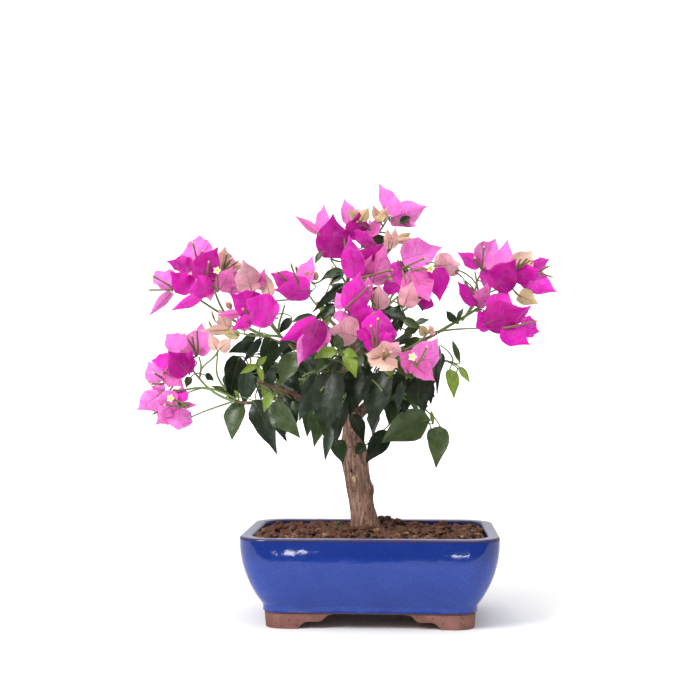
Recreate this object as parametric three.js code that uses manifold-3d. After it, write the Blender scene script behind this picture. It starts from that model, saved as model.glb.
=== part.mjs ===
// A flowering bougainvillea bonsai in a blue glazed pot on four clay feet.
// Millimetres, +Z up, +Y away from the viewer.
// The finished plant stands on Z = 0 with its box centred on the origin.
import * as THREE from "three";
import { mergeVertices } from "three/addons/utils/BufferGeometryUtils.js";
import Module from "manifold-3d";

const wasm = await Module();
wasm.setup();

// Clearance between neighbouring pieces
const FIT = 0.3;

// Pot: a rounded rectangle whose wall bulges out from a narrow foot band to the rim
const RIM_WIDTH = 226;
const RIM_DEPTH = 162;
const RIM_CORNER = 28;
const POT_HEIGHT = 80;
const FOOT_HEIGHT = 13.4;
const BAND_HEIGHT = 6.6;
const BAND_DRAW = 0.6;
const WALL_INSET = 19;
const RIM_FACE = 3;
const RIM_LIP = 11;
const RIM_ROUND = 2.5;
const FLOOR_THICKNESS = 9;
const CORNER_STEPS = 5;
const BULGE_STEPS = 6;
const INNER_STEPS = 4;
const SOIL_SIDE_STEPS = 5;

// Cloud-shaped feet, one bracket round each lower corner
const FOOT_LENGTH = 54;
const FOOT_SIDE_LENGTH = 42;
const FOOT_SOLE = 27;
const FOOT_THICKNESS = 17;
const FOOT_DRAW = 1.6;

// Soil: level with the rim, with a flat seat under the trunk and a heap beside it
const SOIL_DROP = 3.5;
const SOIL_TOP = 80;
const SOIL_SEAT = 17;
const SOIL_LUMP = 1.2;
const HEAP_PLACE = [15, 14];
const HEAP_HEIGHT = 6;
const HEAP_SPREAD = 11;

// Trunk: from a flat cut on the soil to its fork, leaning left
const TRUNK_FOOT = [-5, 0, SOIL_TOP + FIT];
const TRUNK_BEND = [-13, 0, 124];
const TRUNK_SHOULDER = [-19, 1, 158];
const TRUNK_FORK = [-17, 1, 190];
const TRUNK_RADIUS = 11;
const FORK_RADIUS = 5.5;
const ROOT_FLARE = 3;
const ROOT_LOBES = 5;
const KNOB_HEIGHT = 0.29;
const KNOB_SIZE = 2.4;
const TRUNK_SIDES = 14;
const TRUNK_RINGS = 14;

// Limbs: one tapering bough to each mass
const LIMB_SIDES = 6;
const LIMB_RINGS = 5;
const LIMB_LEAVE = 0.42;
const LIMB_ARRIVE = 0.36;

// Shoots: three-sided green stems that carry leaves and flowers
const SHOOT_SIDES = 3;
const SHOOT_RINGS = 4;
const SHOOT_RADIUS = 1.0;
const STALK_RADIUS = 0.9;
const STALK_LENGTH = [8, 14];
const STALK_END = 2.4;
const FLOWER_REACH = 22;
const GOLDEN_ANGLE = Math.PI * (3 - Math.sqrt(5));

// Blades: leaves and bracts share one outline rule, sampled along a bending midrib
const MIDRIB_STEPS = 12;
const LEAF = {
  length: [30, 80],
  width: 0.5,
  petiole: 0.16,
  rise: 0.7,
  taper: 1.25,
  thick: 0.014,
  fold: 0.22,
};
const BRACT = {
  length: [31, 39],
  width: 0.74,
  petiole: 0,
  rise: 0.55,
  taper: 0.95,
  thick: 0.02,
  fold: 0.18,
};
const LEAFY_LEAF = [1, 0.55];
const FLOWERING_LEAF = [0.7, 0.3];
const LEAF_STATIONS = [0, 3, 7];
const BRACT_STATIONS = [5, 9];
const BLADE_ROOT = 1.1;
const BRACTS_PER_FLOWER = 3;
const TRIES = 40;

// Clearances of a blade: to another mass's space, to a limb or stem, to its neighbours, and above the soil
const SPACE_MARGIN = 0.8;
const LIMB_MARGIN = 2.6;
const BLADE_MARGIN = 2.2;
const LOWEST_LEAF = 130;
const SIMPLIFY = 0.1;

const UP = new THREE.Vector3(0, 0, 1);
const DOWN = new THREE.Vector3(0, 0, -1);

// One row for each mass of the crown. on and at: the limb its bough grows from and the place along it.
// tip: where the bough ends and the mass begins. girth: the bough's radii.
// shoots: how far each shoot reaches. leaves and flowers: how many each shoot carries.
// size: share of full leaf length at the shoot's start and end.
const MASSES = [
  {
    name: "foliage_left", on: "trunk", at: 0.8,
    tip: [-84, -6, 204], girth: [4, 1.9], seed: 192, leaves: 5,
    shoots: [[-130, -6, 206], [-97, -36, 214], [-114, 22, 236]],
  },
  {
    name: "foliage_right", on: "trunk", at: 0.86,
    tip: [22, -8, 202], girth: [4, 1.9], seed: 206, leaves: 5,
    shoots: [[42, -6, 204], [38, -44, 196], [44, 22, 230]],
  },
  {
    name: "foliage_front", on: "trunk", at: 0.92,
    tip: [-17, -28, 212], girth: [3.6, 1.9], seed: 150, leaves: 6,
    shoots: [
      [-15, -76, 226], [-58, -58, 218], [-40, -82, 206],
      [12, -84, 206], [32, -64, 198], [-38, -54, 238],
    ],
  },
  {
    name: "foliage_back_left", on: "trunk", at: 0.83,
    tip: [-50, 44, 210], girth: [3.6, 1.8], seed: 15, leaves: 6,
    shoots: [[-90, 72, 210], [-54, 92, 216]],
  },
  {
    name: "foliage_back_right", on: "trunk", at: 0.88,
    tip: [16, 46, 206], girth: [3.6, 1.8], seed: 16, leaves: 6,
    shoots: [[42, 74, 208], [10, 94, 212]],
  },
  {
    name: "foliage_back", on: "trunk", at: 0.96,
    tip: [-16, 48, 238], girth: [3, 1.7], seed: 17, leaves: 4,
    shoots: [[-30, 94, 252], [0, 90, 250]],
  },
  {
    name: "blossom_top", on: "trunk", at: 1,
    tip: [-20, 2, 284], girth: [5, 1.9], seed: 80, leaves: 3,
    shoots: [[-25, -20, 364], [27, 12, 384], [-14, 52, 346]], flowers: [3, 2, 2],
  },
  {
    name: "blossom_left_high", on: "blossom_top", at: 0.28,
    tip: [-100, 4, 256], girth: [2.8, 1.5], seed: 234, leaves: 2,
    shoots: [[-194, 0, 314], [-160, 20, 334]], flowers: [4, 3],
  },
  {
    name: "blossom_left_mid", on: "blossom_top", at: 0.2,
    tip: [-72, -34, 248], girth: [2.6, 1.4], seed: 65, leaves: 3,
    shoots: [[-100, -62, 277], [-131, -50, 257], [-110, -16, 308], [-71, -44, 303]],
    flowers: [1, 2, 1, 2],
  },
  {
    name: "blossom_left_low", on: "foliage_left", at: 0.8,
    tip: [-122, -24, 196], girth: [1.9, 1.3], seed: 115, leaves: 2,
    shoots: [[-188, -6, 248], [-196, -44, 206]], flowers: [3, 4],
  },
  {
    name: "blossom_centre", on: "blossom_top", at: 0.42,
    tip: [6, -34, 260], girth: [2.6, 1.5], seed: 227, leaves: 3,
    shoots: [[0, -62, 312], [46, -40, 312], [-16, -84, 282], [4, -94, 254], [34, -66, 286]],
    flowers: [2, 3, 1, 1, 1],
  },
  {
    name: "blossom_right", on: "blossom_top", at: 0.26,
    tip: [60, 2, 258], girth: [2.8, 1.5], seed: 171, leaves: 2,
    shoots: [[148, -10, 318], [104, 20, 326], [120, -30, 264]], flowers: [3, 3, 2],
  },
  {
    name: "blossom_front_left", on: "foliage_front", at: 0.55,
    tip: [-46, -44, 246], girth: [1.8, 1.2], seed: 122, leaves: 3, size: [0.85, 0.5],
    shoots: [[-52, -112, 248]], flowers: [1],
  },
  {
    name: "blossom_front_right", on: "foliage_front", at: 0.55,
    tip: [14, -46, 238], girth: [1.8, 1.2], seed: 157, leaves: 3, size: [0.85, 0.5],
    shoots: [[42, -100, 232], [13, -112, 234]], flowers: [1, 1],
  },
  {
    name: "blossom_back_left", on: "blossom_top", at: 0.55,
    tip: [-48, 44, 280], girth: [2.2, 1.3], seed: 32, leaves: 3,
    shoots: [[-74, 74, 312], [-44, 90, 298]], flowers: [2, 2],
  },
  {
    name: "blossom_back_right", on: "blossom_top", at: 0.62,
    tip: [28, 46, 280], girth: [2.2, 1.3], seed: 33, leaves: 3,
    shoots: [[58, 70, 308], [22, 92, 296]], flowers: [2, 2],
  },
  {
    name: "sprig_right", on: "foliage_right", at: 0.5,
    tip: [48, -18, 226], girth: [1.8, 1.2], seed: 234, leaves: 6, size: [0.2, 0.02],
    shoots: [[72, -30, 231]],
  },
];

// A seeded sequence of numbers from 0 to 1
function seeded(seed) {
  let state = seed * 7919 + 17;
  return () => {
    state = (state * 48271) % 2147483647;
    return state / 2147483647;
  };
}

const vec = (p) => new THREE.Vector3(...p);
const mix = (low, high, share) => low + (high - low) * share;

// A closed geometry as a manifold solid
function solidOf(geometry) {
  const bare = new THREE.BufferGeometry().setAttribute("position", geometry.getAttribute("position"));
  if (geometry.index) bare.setIndex(geometry.index);
  const merged = mergeVertices(bare, 1e-4);
  return new wasm.Manifold(
    new wasm.Mesh({
      numProp: 3,
      vertProperties: new Float32Array(merged.attributes.position.array),
      triVerts: new Uint32Array(merged.index.array),
    }),
  );
}

// A manifold solid as a geometry
function geometryOf(solid) {
  const mesh = solid.getMesh();
  const geometry = new THREE.BufferGeometry();
  geometry.setAttribute("position", new THREE.BufferAttribute(new Float32Array(mesh.vertProperties), 3));
  geometry.setIndex(new THREE.BufferAttribute(new Uint32Array(mesh.triVerts), 1));
  geometry.computeVertexNormals();
  return geometry;
}

// The largest body of a solid, without loose scraps and sealed hollows
function mainBody(solid) {
  return solid.decompose().reduce((best, body) => (body.volume() > best.volume() ? body : best));
}

// A closed skin over rings of points, each ring anticlockwise about the way the rings run
function loft(rings) {
  const count = rings[0].length;
  const points = rings.flat();
  const faces = [];
  for (let r = 0; r + 1 < rings.length; r++) {
    for (let i = 0; i < count; i++) {
      const a = r * count + i;
      const b = r * count + ((i + 1) % count);
      faces.push(a, b, b + count, a, b + count, a + count);
    }
  }
  for (const [ring, flip] of [[0, true], [rings.length - 1, false]]) {
    const middle = rings[ring].reduce((sum, p) => sum.add(p), new THREE.Vector3()).divideScalar(count);
    points.push(middle);
    for (let i = 0; i < count; i++) {
      const a = ring * count + i;
      const b = ring * count + ((i + 1) % count);
      faces.push(points.length - 1, flip ? b : a, flip ? a : b);
    }
  }
  return new THREE.BufferGeometry().setFromPoints(points).setIndex(faces);
}

// A tube round a curve. radius(t, angle) gives its girth
function tube(curve, rings, sides, radius) {
  const frames = curve.computeFrenetFrames(rings, false);
  const loops = [];
  for (let r = 0; r <= rings; r++) {
    const centre = curve.getPoint(r / rings);
    const loop = [];
    for (let i = 0; i < sides; i++) {
      const angle = (2 * Math.PI * i) / sides;
      const girth = radius(r / rings, angle);
      loop.push(
        centre
          .clone()
          .addScaledVector(frames.normals[r], girth * Math.cos(angle))
          .addScaledVector(frames.binormals[r], girth * Math.sin(angle)),
      );
    }
    loops.push(loop);
  }
  return loft(loops);
}

// The pot's plan at one level: a rounded rectangle drawn in by inset, its straight sides cut into sideSteps
function potRing(inset, z, sideSteps = 1) {
  const corner = RIM_CORNER - inset * 0.5;
  const x = RIM_WIDTH / 2 - inset - corner;
  const y = RIM_DEPTH / 2 - inset - corner;
  const corners = [[x, y], [-x, y], [-x, -y], [x, -y]];
  const ring = [];
  corners.forEach(([cx, cy], quarter) => {
    for (let k = 0; k <= CORNER_STEPS; k++) {
      const angle = (quarter + k / CORNER_STEPS) * (Math.PI / 2);
      ring.push(new THREE.Vector3(cx + corner * Math.cos(angle), cy + corner * Math.sin(angle), z));
    }
    const [nextX, nextY] = corners[(quarter + 1) % 4];
    const from = ring[ring.length - 1].clone();
    for (let k = 1; k < sideSteps; k++) {
      const along = new THREE.Vector3(nextX - cx, nextY - cy, 0).multiplyScalar(k / sideSteps);
      ring.push(along.add(from));
    }
  });
  return ring;
}

const BAND_TOP = FOOT_HEIGHT + BAND_HEIGHT;
const BULGE_TOP = POT_HEIGHT - RIM_FACE;
const BULGE_RADIUS = ((BULGE_TOP - BAND_TOP) ** 2 + WALL_INSET ** 2) / (2 * WALL_INSET);
const SOIL_FLOOR = FOOT_HEIGHT + FLOOR_THICKNESS;

// How far the outer wall is drawn in at height z
function wallInset(z) {
  const below = Math.max(0, BULGE_TOP - Math.max(z, BAND_TOP));
  return BULGE_RADIUS - Math.sqrt(BULGE_RADIUS ** 2 - below ** 2);
}

function potBody() {
  const band = WALL_INSET + BAND_DRAW;
  const rings = [potRing(band, FOOT_HEIGHT), potRing(band, BAND_TOP - 2)];
  for (let k = 0; k <= BULGE_STEPS; k++) {
    const z = mix(BAND_TOP, BULGE_TOP, k / BULGE_STEPS);
    rings.push(potRing(wallInset(z), z));
  }
  rings.push(potRing(0, POT_HEIGHT - RIM_ROUND), potRing(RIM_ROUND * 0.3, POT_HEIGHT - RIM_ROUND * 0.3));
  rings.push(potRing(RIM_ROUND, POT_HEIGHT), potRing(RIM_LIP - RIM_ROUND, POT_HEIGHT));
  for (let k = 0; k <= INNER_STEPS; k++) {
    const z = mix(POT_HEIGHT - RIM_ROUND, SOIL_FLOOR, k / INNER_STEPS);
    rings.push(potRing(wallInset(z) + RIM_LIP, z));
  }
  return loft(rings);
}

// A foot's side view: a flat sole that steps up in a cloud curve
function footBracket(length) {
  const step = FOOT_HEIGHT * 0.45;
  const shape = new THREE.Shape();
  shape.moveTo(0, 0);
  shape.lineTo(FOOT_SOLE * 0.86, 0);
  shape.quadraticCurveTo(FOOT_SOLE, 0, FOOT_SOLE * 1.12, step);
  shape.lineTo(length * 0.86, step);
  shape.quadraticCurveTo(length * 0.97, step, length, FOOT_HEIGHT - FIT);
  shape.lineTo(0, FOOT_HEIGHT - FIT);
  shape.closePath();
  return new THREE.ExtrudeGeometry(shape, { depth: FOOT_THICKNESS, bevelEnabled: false, curveSegments: 4 });
}

// One corner foot: a bracket along the front and one along the side, trimmed to the pot's rounded corner
function potFoot(sideX, sideY) {
  const left = -RIM_WIDTH / 2 + WALL_INSET + FOOT_DRAW;
  const front = -RIM_DEPTH / 2 + WALL_INSET + FOOT_DRAW;
  const along = footBracket(FOOT_LENGTH);
  along.rotateX(Math.PI / 2);
  along.translate(left, front + FOOT_THICKNESS, 0);
  const aside = footBracket(FOOT_SIDE_LENGTH);
  aside.rotateX(Math.PI / 2);
  aside.rotateZ(Math.PI / 2);
  aside.translate(left, front, 0);
  const drawn = WALL_INSET + FOOT_DRAW;
  const plan = solidOf(loft([potRing(drawn + 1.5, 0), potRing(drawn, FOOT_HEIGHT - FIT)]));
  let foot = solidOf(along).add(solidOf(aside)).intersect(plan);
  if (sideX > 0) foot = foot.mirror([1, 0, 0]);
  if (sideY > 0) foot = foot.mirror([0, 1, 0]);
  return geometryOf(foot);
}

// Height of the soil at a place
function soilHeight(x, y, share) {
  const off = (x - HEAP_PLACE[0]) ** 2 + (y - HEAP_PLACE[1]) ** 2;
  const heap = HEAP_HEIGHT * Math.exp(-off / (2 * HEAP_SPREAD ** 2)) * Math.min(1, share * 4);
  const lumps = Math.sin(x * 0.31 + 1.7) * Math.cos(y * 0.37) + Math.sin(x * 0.13 - y * 0.21);
  return SOIL_TOP - SOIL_DROP * share ** 2 + heap + SOIL_LUMP * lumps * share;
}

function soil() {
  const edge = SOIL_TOP - SOIL_DROP - SOIL_LUMP * 2;
  const rings = [];
  for (let k = 0; k <= INNER_STEPS; k++) {
    const z = mix(SOIL_FLOOR + FIT, edge, k / INNER_STEPS);
    rings.push(potRing(wallInset(z - 3) + RIM_LIP + FIT, z, SOIL_SIDE_STEPS));
  }
  const rim = rings[INNER_STEPS];
  for (const share of [0.96, 0.75, 0.5, 0.3, 0.12, 0]) {
    rings.push(
      rim.map((p) => {
        const angle = Math.atan2(p.y - TRUNK_FOOT[1], p.x - TRUNK_FOOT[0]);
        const x = mix(TRUNK_FOOT[0] + SOIL_SEAT * Math.cos(angle), p.x, share);
        const y = mix(TRUNK_FOOT[1] + SOIL_SEAT * Math.sin(angle), p.y, share);
        return new THREE.Vector3(x, y, soilHeight(x, y, share));
      }),
    );
  }
  return loft(rings);
}

// Trunk girth: flared lobes at the root, full to the shoulder, drawn in to the fork, one pruned knob
function trunkRadius(t, angle) {
  const flare = ROOT_FLARE * Math.max(0, 1 - t / 0.16) ** 2 * (1 + 0.45 * Math.cos(ROOT_LOBES * angle));
  const shoulder = 1.1 * Math.exp(-(((t - 0.55) / 0.13) ** 2));
  const draw = t < 0.66 ? 0 : ((t - 0.66) / 0.34) ** 0.8;
  const knob = KNOB_SIZE * Math.exp(-(((t - KNOB_HEIGHT) / 0.06) ** 2)) * Math.max(0, Math.cos(angle)) ** 3;
  return mix(TRUNK_RADIUS + shoulder, FORK_RADIUS, draw) + flare + knob;
}

// The trunk's level rings, grown by extra all round
function trunkSkin(extra) {
  const rings = [];
  for (let r = 0; r <= TRUNK_RINGS; r++) {
    const centre = trunkCurve.getPoint(r / TRUNK_RINGS);
    if (r === 0) centre.z -= extra;
    if (r === TRUNK_RINGS) centre.z += extra;
    const ring = [];
    for (let i = 0; i < TRUNK_SIDES; i++) {
      const angle = (2 * Math.PI * i) / TRUNK_SIDES;
      const girth = trunkRadius(r / TRUNK_RINGS, angle) + extra;
      ring.push(new THREE.Vector3(girth * Math.cos(angle), girth * Math.sin(angle), 0).add(centre));
    }
    rings.push(ring);
  }
  return loft(rings);
}

// A curve that leaves start along out and arrives at end along heading
function bend(start, out, end, heading) {
  const span = start.distanceTo(end);
  return new THREE.CubicBezierCurve3(
    start,
    start.clone().addScaledVector(out, span * LIMB_LEAVE),
    end.clone().addScaledVector(heading, -span * LIMB_ARRIVE),
    end,
  );
}

const trunkCurve = new THREE.CubicBezierCurve3(
  vec(TRUNK_FOOT),
  vec(TRUNK_BEND),
  vec(TRUNK_SHOULDER),
  vec(TRUNK_FORK),
);
const limbs = new Map();
limbs.set("trunk", {
  name: "trunk",
  curve: trunkCurve,
  girth: (t) => trunkRadius(t, 0),
  solid: solidOf(trunkSkin(0)),
  clear: solidOf(trunkSkin(FIT)),
});

// A bough from its parent's middle to the mass, cut clear of the limbs already there
function growBough(mass) {
  const parent = limbs.get(mass.on);
  const end = vec(mass.tip);
  const start = parent.curve.getPoint(mass.at);
  const tangent = parent.curve.getTangent(mass.at);
  const way = end.clone().sub(start).normalize();
  const onward = vec(mass.shoots[0]).sub(end).normalize();
  const out = way.clone().addScaledVector(tangent, mass.at === 1 ? 2 : 0.35).normalize();
  const heading = way.clone().addScaledVector(onward, 0.8).normalize();
  const curve = bend(start, out, end, heading);
  const girth = (t) => mix(mass.girth[0], mass.girth[1], t);
  let solid = solidOf(tube(curve, LIMB_RINGS, LIMB_SIDES, girth));
  for (const other of limbs.values()) solid = solid.subtract(other.clear);
  const clear = solidOf(tube(curve, LIMB_RINGS, LIMB_SIDES, (t) => girth(t) + FIT * 1.2));
  limbs.set(mass.name, { name: `bough_${mass.name}`, curve, girth, clear, solid: mainBody(solid) });
  return { curve, heading };
}

// The shoots of a mass: the first carries on from the bough's tip, the others branch from the first
function growShoots(mass, bough) {
  const flowering = Boolean(mass.flowers);
  const shoots = [];
  mass.shoots.forEach((reach, i) => {
    const main = shoots[0];
    const share = mix(0.2, 0.55, i / mass.shoots.length);
    const start = main ? main.getPoint(share) : bough.curve.getPoint(1).addScaledVector(bough.heading, FIT);
    const end = vec(reach);
    const way = end.clone().sub(start).normalize();
    if (flowering) end.addScaledVector(way, -FLOWER_REACH);
    const out = main ? way.clone().addScaledVector(main.getTangent(share), 0.6).normalize() : bough.heading;
    const heading = way.clone();
    heading.z += flowering ? 0.2 : -0.5;
    shoots.push(bend(start, out, end, heading.normalize()));
  });
  return shoots;
}

// Spaced points along a curve, with its radius there
function beads(curve, girth, count) {
  const steps = Array.from({ length: count + 1 }, (_, i) => i / count);
  return steps.map((t) => ({ place: curve.getPoint(t), radius: girth(t) }));
}

for (const mass of MASSES) {
  mass.curves = growShoots(mass, growBough(mass));
  const thickest = (i) => (i ? SHOOT_RADIUS * 1.2 : mass.girth[1]);
  mass.girths = mass.curves.map((_, i) => (t) => mix(thickest(i), SHOOT_RADIUS, t));
  mass.beads = mass.curves.flatMap((curve, i) => beads(curve, mass.girths[i], 10));
}
const limbBeads = [...limbs.values()].flatMap((limb) => beads(limb.curve, limb.girth, 16));

// The least distance from a point to a list of beads, measured to their skins
function nearest(list, point) {
  const skin = (bead) => bead.place.distanceTo(point) - bead.radius;
  return list.reduce((least, bead) => Math.min(least, skin(bead)), Infinity);
}

// A point is free where it is nearer to the mass's own shoots than to another's and clear of the limbs
function free(mass, point) {
  if (point.z < LOWEST_LEAF || nearest(limbBeads, point) < LIMB_MARGIN) return false;
  const own = nearest(mass.beads, point) + SPACE_MARGIN;
  return MASSES.every((other) => other === mass || nearest(other.beads, point) > own);
}

// Half the blade's width at share s of its length
function halfWidth(form, length, s) {
  const root = BLADE_ROOT * 0.8;
  const u = (s - form.petiole) / (1 - form.petiole);
  if (u <= 0) return root;
  const peak = form.rise / (form.rise + form.taper);
  const most = peak ** form.rise * (1 - peak) ** form.taper;
  const blade = (0.5 * form.width * length * u ** form.rise * (1 - u) ** form.taper) / most;
  return Math.max(root * (1 - u), blade);
}

// A midrib that leaves start along heading and is drawn round towards pull
function midrib(start, heading, pull, strength, length) {
  const way = heading.clone();
  const place = start.clone();
  const path = [{ place: place.clone(), way: way.clone() }];
  for (let k = 0; k < MIDRIB_STEPS; k++) {
    way.addScaledVector(pull, strength / MIDRIB_STEPS).normalize();
    place.addScaledVector(way, length / MIDRIB_STEPS);
    path.push({ place: place.clone(), way: way.clone() });
  }
  return path;
}

// A blade's section at one step of its midrib: one edge, the crown, the other edge, the keel
function bladeSection(blade, k) {
  const { place, way } = blade.path[k];
  const across = blade.across.clone().addScaledVector(way, -blade.across.dot(way)).normalize();
  const face = across.clone().cross(way);
  const wide = halfWidth(blade.form, blade.length, k / MIDRIB_STEPS);
  const thick = Math.max(BLADE_ROOT * (k === 0 ? 1 : 0.6), blade.form.thick * blade.length) / 2;
  const lift = blade.form.fold * wide;
  return [
    place.clone().addScaledVector(across, -wide).addScaledVector(face, lift),
    place.clone().addScaledVector(face, thick),
    place.clone().addScaledVector(across, wide).addScaledVector(face, lift),
    place.clone().addScaledVector(face, -thick),
  ];
}

// Joins a ring of four points to further sections and a point at the tip.
// Each face is split from its edge to the middle, above and below alike, so the two skins never cross.
function bladeFaces(faces, ring, first, sections) {
  let from = ring;
  for (let r = 0; r < sections; r++) {
    const to = [0, 1, 2, 3].map((i) => first + r * 4 + i);
    for (const [edge, middle] of [[0, 1], [0, 3], [2, 1], [2, 3]]) {
      const corners = [from[edge], to[edge], to[middle], from[edge], to[middle], from[middle]];
      faces.push(...((middle - edge + 4) % 4 === 1 ? corners.reverse() : corners));
    }
    from = to;
  }
  for (let i = 0; i < 4; i++) faces.push(from[i], from[(i + 1) % 4], first + sections * 4);
}

// A closed leaf: sections joined along the midrib, capped at the root and drawn to a point
function leafSolid(leaf) {
  const rings = LEAF_STATIONS.map((k) => bladeSection(leaf, k));
  const points = [...rings.flat(), leaf.path[MIDRIB_STEPS].place];
  const faces = [0, 2, 1, 0, 3, 2];
  bladeFaces(faces, [0, 1, 2, 3], 4, rings.length - 1);
  return solidOf(new THREE.BufferGeometry().setFromPoints(points).setIndex(faces));
}

// A closed flower: a three-sided stalk with a bract growing from each side of its end
function flowerSolid(flower) {
  const points = [];
  const faces = [0, 2, 1, 6, 7, 8];
  const turn = (2 * Math.PI) / BRACTS_PER_FLOWER;
  const corner = (b) => around(flower.ring, flower.spin + (b - 0.5) * turn);
  for (const along of [0, flower.stalk - STALK_END, flower.stalk]) {
    for (let b = 0; b < BRACTS_PER_FLOWER; b++) {
      const radius = STALK_RADIUS * (along ? 1.3 : 1);
      const centre = flower.place.clone().addScaledVector(flower.axis, along);
      points.push(centre.addScaledVector(corner(b), radius));
    }
  }
  flower.bracts.forEach((bract, b) => {
    const next = (b + 1) % BRACTS_PER_FLOWER;
    faces.push(b, next, 3 + next, b, 3 + next, 3 + b);
    const rings = BRACT_STATIONS.map((k) => bladeSection(bract, k));
    const first = points.length;
    points.push(...rings.flat(), bract.path[MIDRIB_STEPS].place);
    bladeFaces(faces, [3 + next, 6 + next, 6 + b, 3 + b], first, rings.length);
  });
  return solidOf(new THREE.BufferGeometry().setFromPoints(points).setIndex(faces));
}

// Points spread over a blade
function bladeSpots(blade) {
  const spots = [blade.path[MIDRIB_STEPS].place];
  for (let k = 2; k < MIDRIB_STEPS; k++) {
    const [left, crown, right] = bladeSection(blade, k);
    spots.push(left, left.clone().lerp(crown, 0.5), crown, right.clone().lerp(crown, 0.5), right);
  }
  return spots;
}

// True if all the blades keep to the mass's space and clear of the blades already there
function fits(mass, blades) {
  const spots = blades.flatMap(bladeSpots);
  const clear = (spot) => mass.spots.every((other) => other.distanceTo(spot) > BLADE_MARGIN);
  if (!spots.every((spot) => clear(spot) && free(mass, spot))) return false;
  mass.spots.push(...spots);
  return true;
}

// Sideways and upward directions about a shoot, and the direction at an angle round it
function shootFrame(way) {
  const across = UP.clone().cross(way);
  if (across.length() < 0.2) across.set(1, 0, 0);
  across.normalize();
  return { across, over: way.clone().cross(across).normalize() };
}

function around(frame, angle) {
  return frame.across.clone().multiplyScalar(Math.cos(angle)).addScaledVector(frame.over, Math.sin(angle));
}

// A hanging leaf at a place on a shoot, turned and shortened until it fits, or nothing
function growLeaf(mass, shoot, t, turn, size, random) {
  const place = shoot.getPoint(t);
  const way = shoot.getTangent(t);
  const frame = shootFrame(way);
  const full = mix(...LEAF.length, size * mix(0.7, 1, random()));
  const droop = mix(1.2, 2.6, random());
  const roll = mix(-0.5, 0.5, random());
  for (let attempt = 0; attempt < TRIES; attempt++) {
    const length = full * (1 - 0.012 * attempt);
    const heading = around(frame, turn + attempt * GOLDEN_ANGLE).addScaledVector(way, 0.5);
    heading.addScaledVector(UP, 0.15).normalize();
    const across = heading.clone().cross(UP).normalize().applyAxisAngle(heading, roll);
    const leaf = { form: LEAF, path: midrib(place, heading, DOWN, droop, length), across, length };
    if (fits(mass, [leaf])) return leaf;
  }
  return null;
}

// A flower on its own stalk: bracts round an axis, turned until they fit, or nothing
function growFlower(mass, shoot, t, lean, turn, random) {
  const place = shoot.getPoint(t);
  const way = shoot.getTangent(t);
  const frame = shootFrame(way);
  const shortest = mix(...STALK_LENGTH, random());
  const widest = mix(0.75, 1.1, random());
  const full = mix(...BRACT.length, random());
  const spin = random() * 2 * Math.PI;
  for (let attempt = 0; attempt < TRIES; attempt++) {
    const stalk = shortest + attempt * 0.3;
    const open = widest * (1 - 0.008 * attempt);
    const length = full * (1 - 0.005 * attempt);
    const axis = around(frame, turn + attempt * GOLDEN_ANGLE).multiplyScalar(lean + attempt * 0.03);
    axis.addScaledVector(way, 0.8).addScaledVector(UP, 0.2).normalize();
    const ring = shootFrame(axis);
    const bracts = [];
    for (let b = 0; b < BRACTS_PER_FLOWER; b++) {
      const out = around(ring, spin + (b * 2 * Math.PI) / BRACTS_PER_FLOWER);
      const heading = axis.clone().multiplyScalar(Math.cos(open)).addScaledVector(out, Math.sin(open));
      const base = place.clone().addScaledVector(axis, stalk - STALK_END / 2);
      const path = midrib(base, heading, out, 0.35, length);
      bracts.push({ form: BRACT, path, across: out.clone().cross(axis), length });
    }
    if (fits(mass, bracts)) return { place, axis, stalk, ring, spin, bracts };
  }
  return null;
}

// Everything a mass is fused from: its shoots, flowers and leaves
function massSolid(mass) {
  const random = seeded(mass.seed);
  const stem = (curve, i) => solidOf(tube(curve, SHOOT_RINGS, SHOOT_SIDES, mass.girths[i]));
  const pieces = mass.curves.map(stem);
  mass.spots = [];
  mass.curves.forEach((shoot, s) => {
    for (let i = 0; i < (mass.flowers?.[s] ?? 0); i++) {
      const flower = growFlower(mass, shoot, 1 - i * 0.13, i ? 1 : 0.25, s + i * GOLDEN_ANGLE, random);
      if (flower) pieces.push(flowerSolid(flower));
    }
  });
  mass.curves.forEach((shoot, s) => {
    for (let i = 0; i < mass.leaves; i++) {
      const share = (i + 0.5) / mass.leaves;
      const t = mass.flowers ? mix(0.12, 0.55, share) : mix(0.25, 0.98, share);
      const size = mix(...(mass.size ?? (mass.flowers ? FLOWERING_LEAF : LEAFY_LEAF)), share);
      const leaf = growLeaf(mass, shoot, t, s + i * GOLDEN_ANGLE, size, random);
      if (leaf) pieces.push(leafSolid(leaf));
    }
  });
  return mainBody(wasm.Manifold.union(pieces)).asOriginal().simplify(SIMPLIFY);
}

const finish = (color, roughness) => new THREE.MeshStandardMaterial({ color, roughness, metalness: 0 });
const FINISHES = {
  glaze: finish(0x2742b4, 0.12),
  clay: finish(0x96695c, 0.85),
  soil: finish(0x54372c, 0.95),
  bark: finish(0x96796c, 0.9),
  shoot: finish(0x6b5a3c, 0.8),
  foliage: finish(0x35452a, 0.5),
  blossom: finish(0xd81fb0, 0.6),
};

const plant = new THREE.Group();
function place(name, geometry, material) {
  const mesh = new THREE.Mesh(geometry, material);
  mesh.name = name;
  plant.add(mesh);
}

place("pot_body", potBody(), FINISHES.glaze);
for (const [sideY, row] of [[-1, "front"], [1, "back"]]) {
  for (const [sideX, side] of [[-1, "left"], [1, "right"]]) {
    place(`pot_foot_${row}_${side}`, potFoot(sideX, sideY), FINISHES.clay);
  }
}
place("soil", soil(), FINISHES.soil);
for (const limb of limbs.values()) {
  place(limb.name, geometryOf(limb.solid), limb.name === "trunk" ? FINISHES.bark : FINISHES.shoot);
}
for (const mass of MASSES) {
  place(mass.name, geometryOf(massSolid(mass)), mass.flowers ? FINISHES.blossom : FINISHES.foliage);
}

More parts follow.
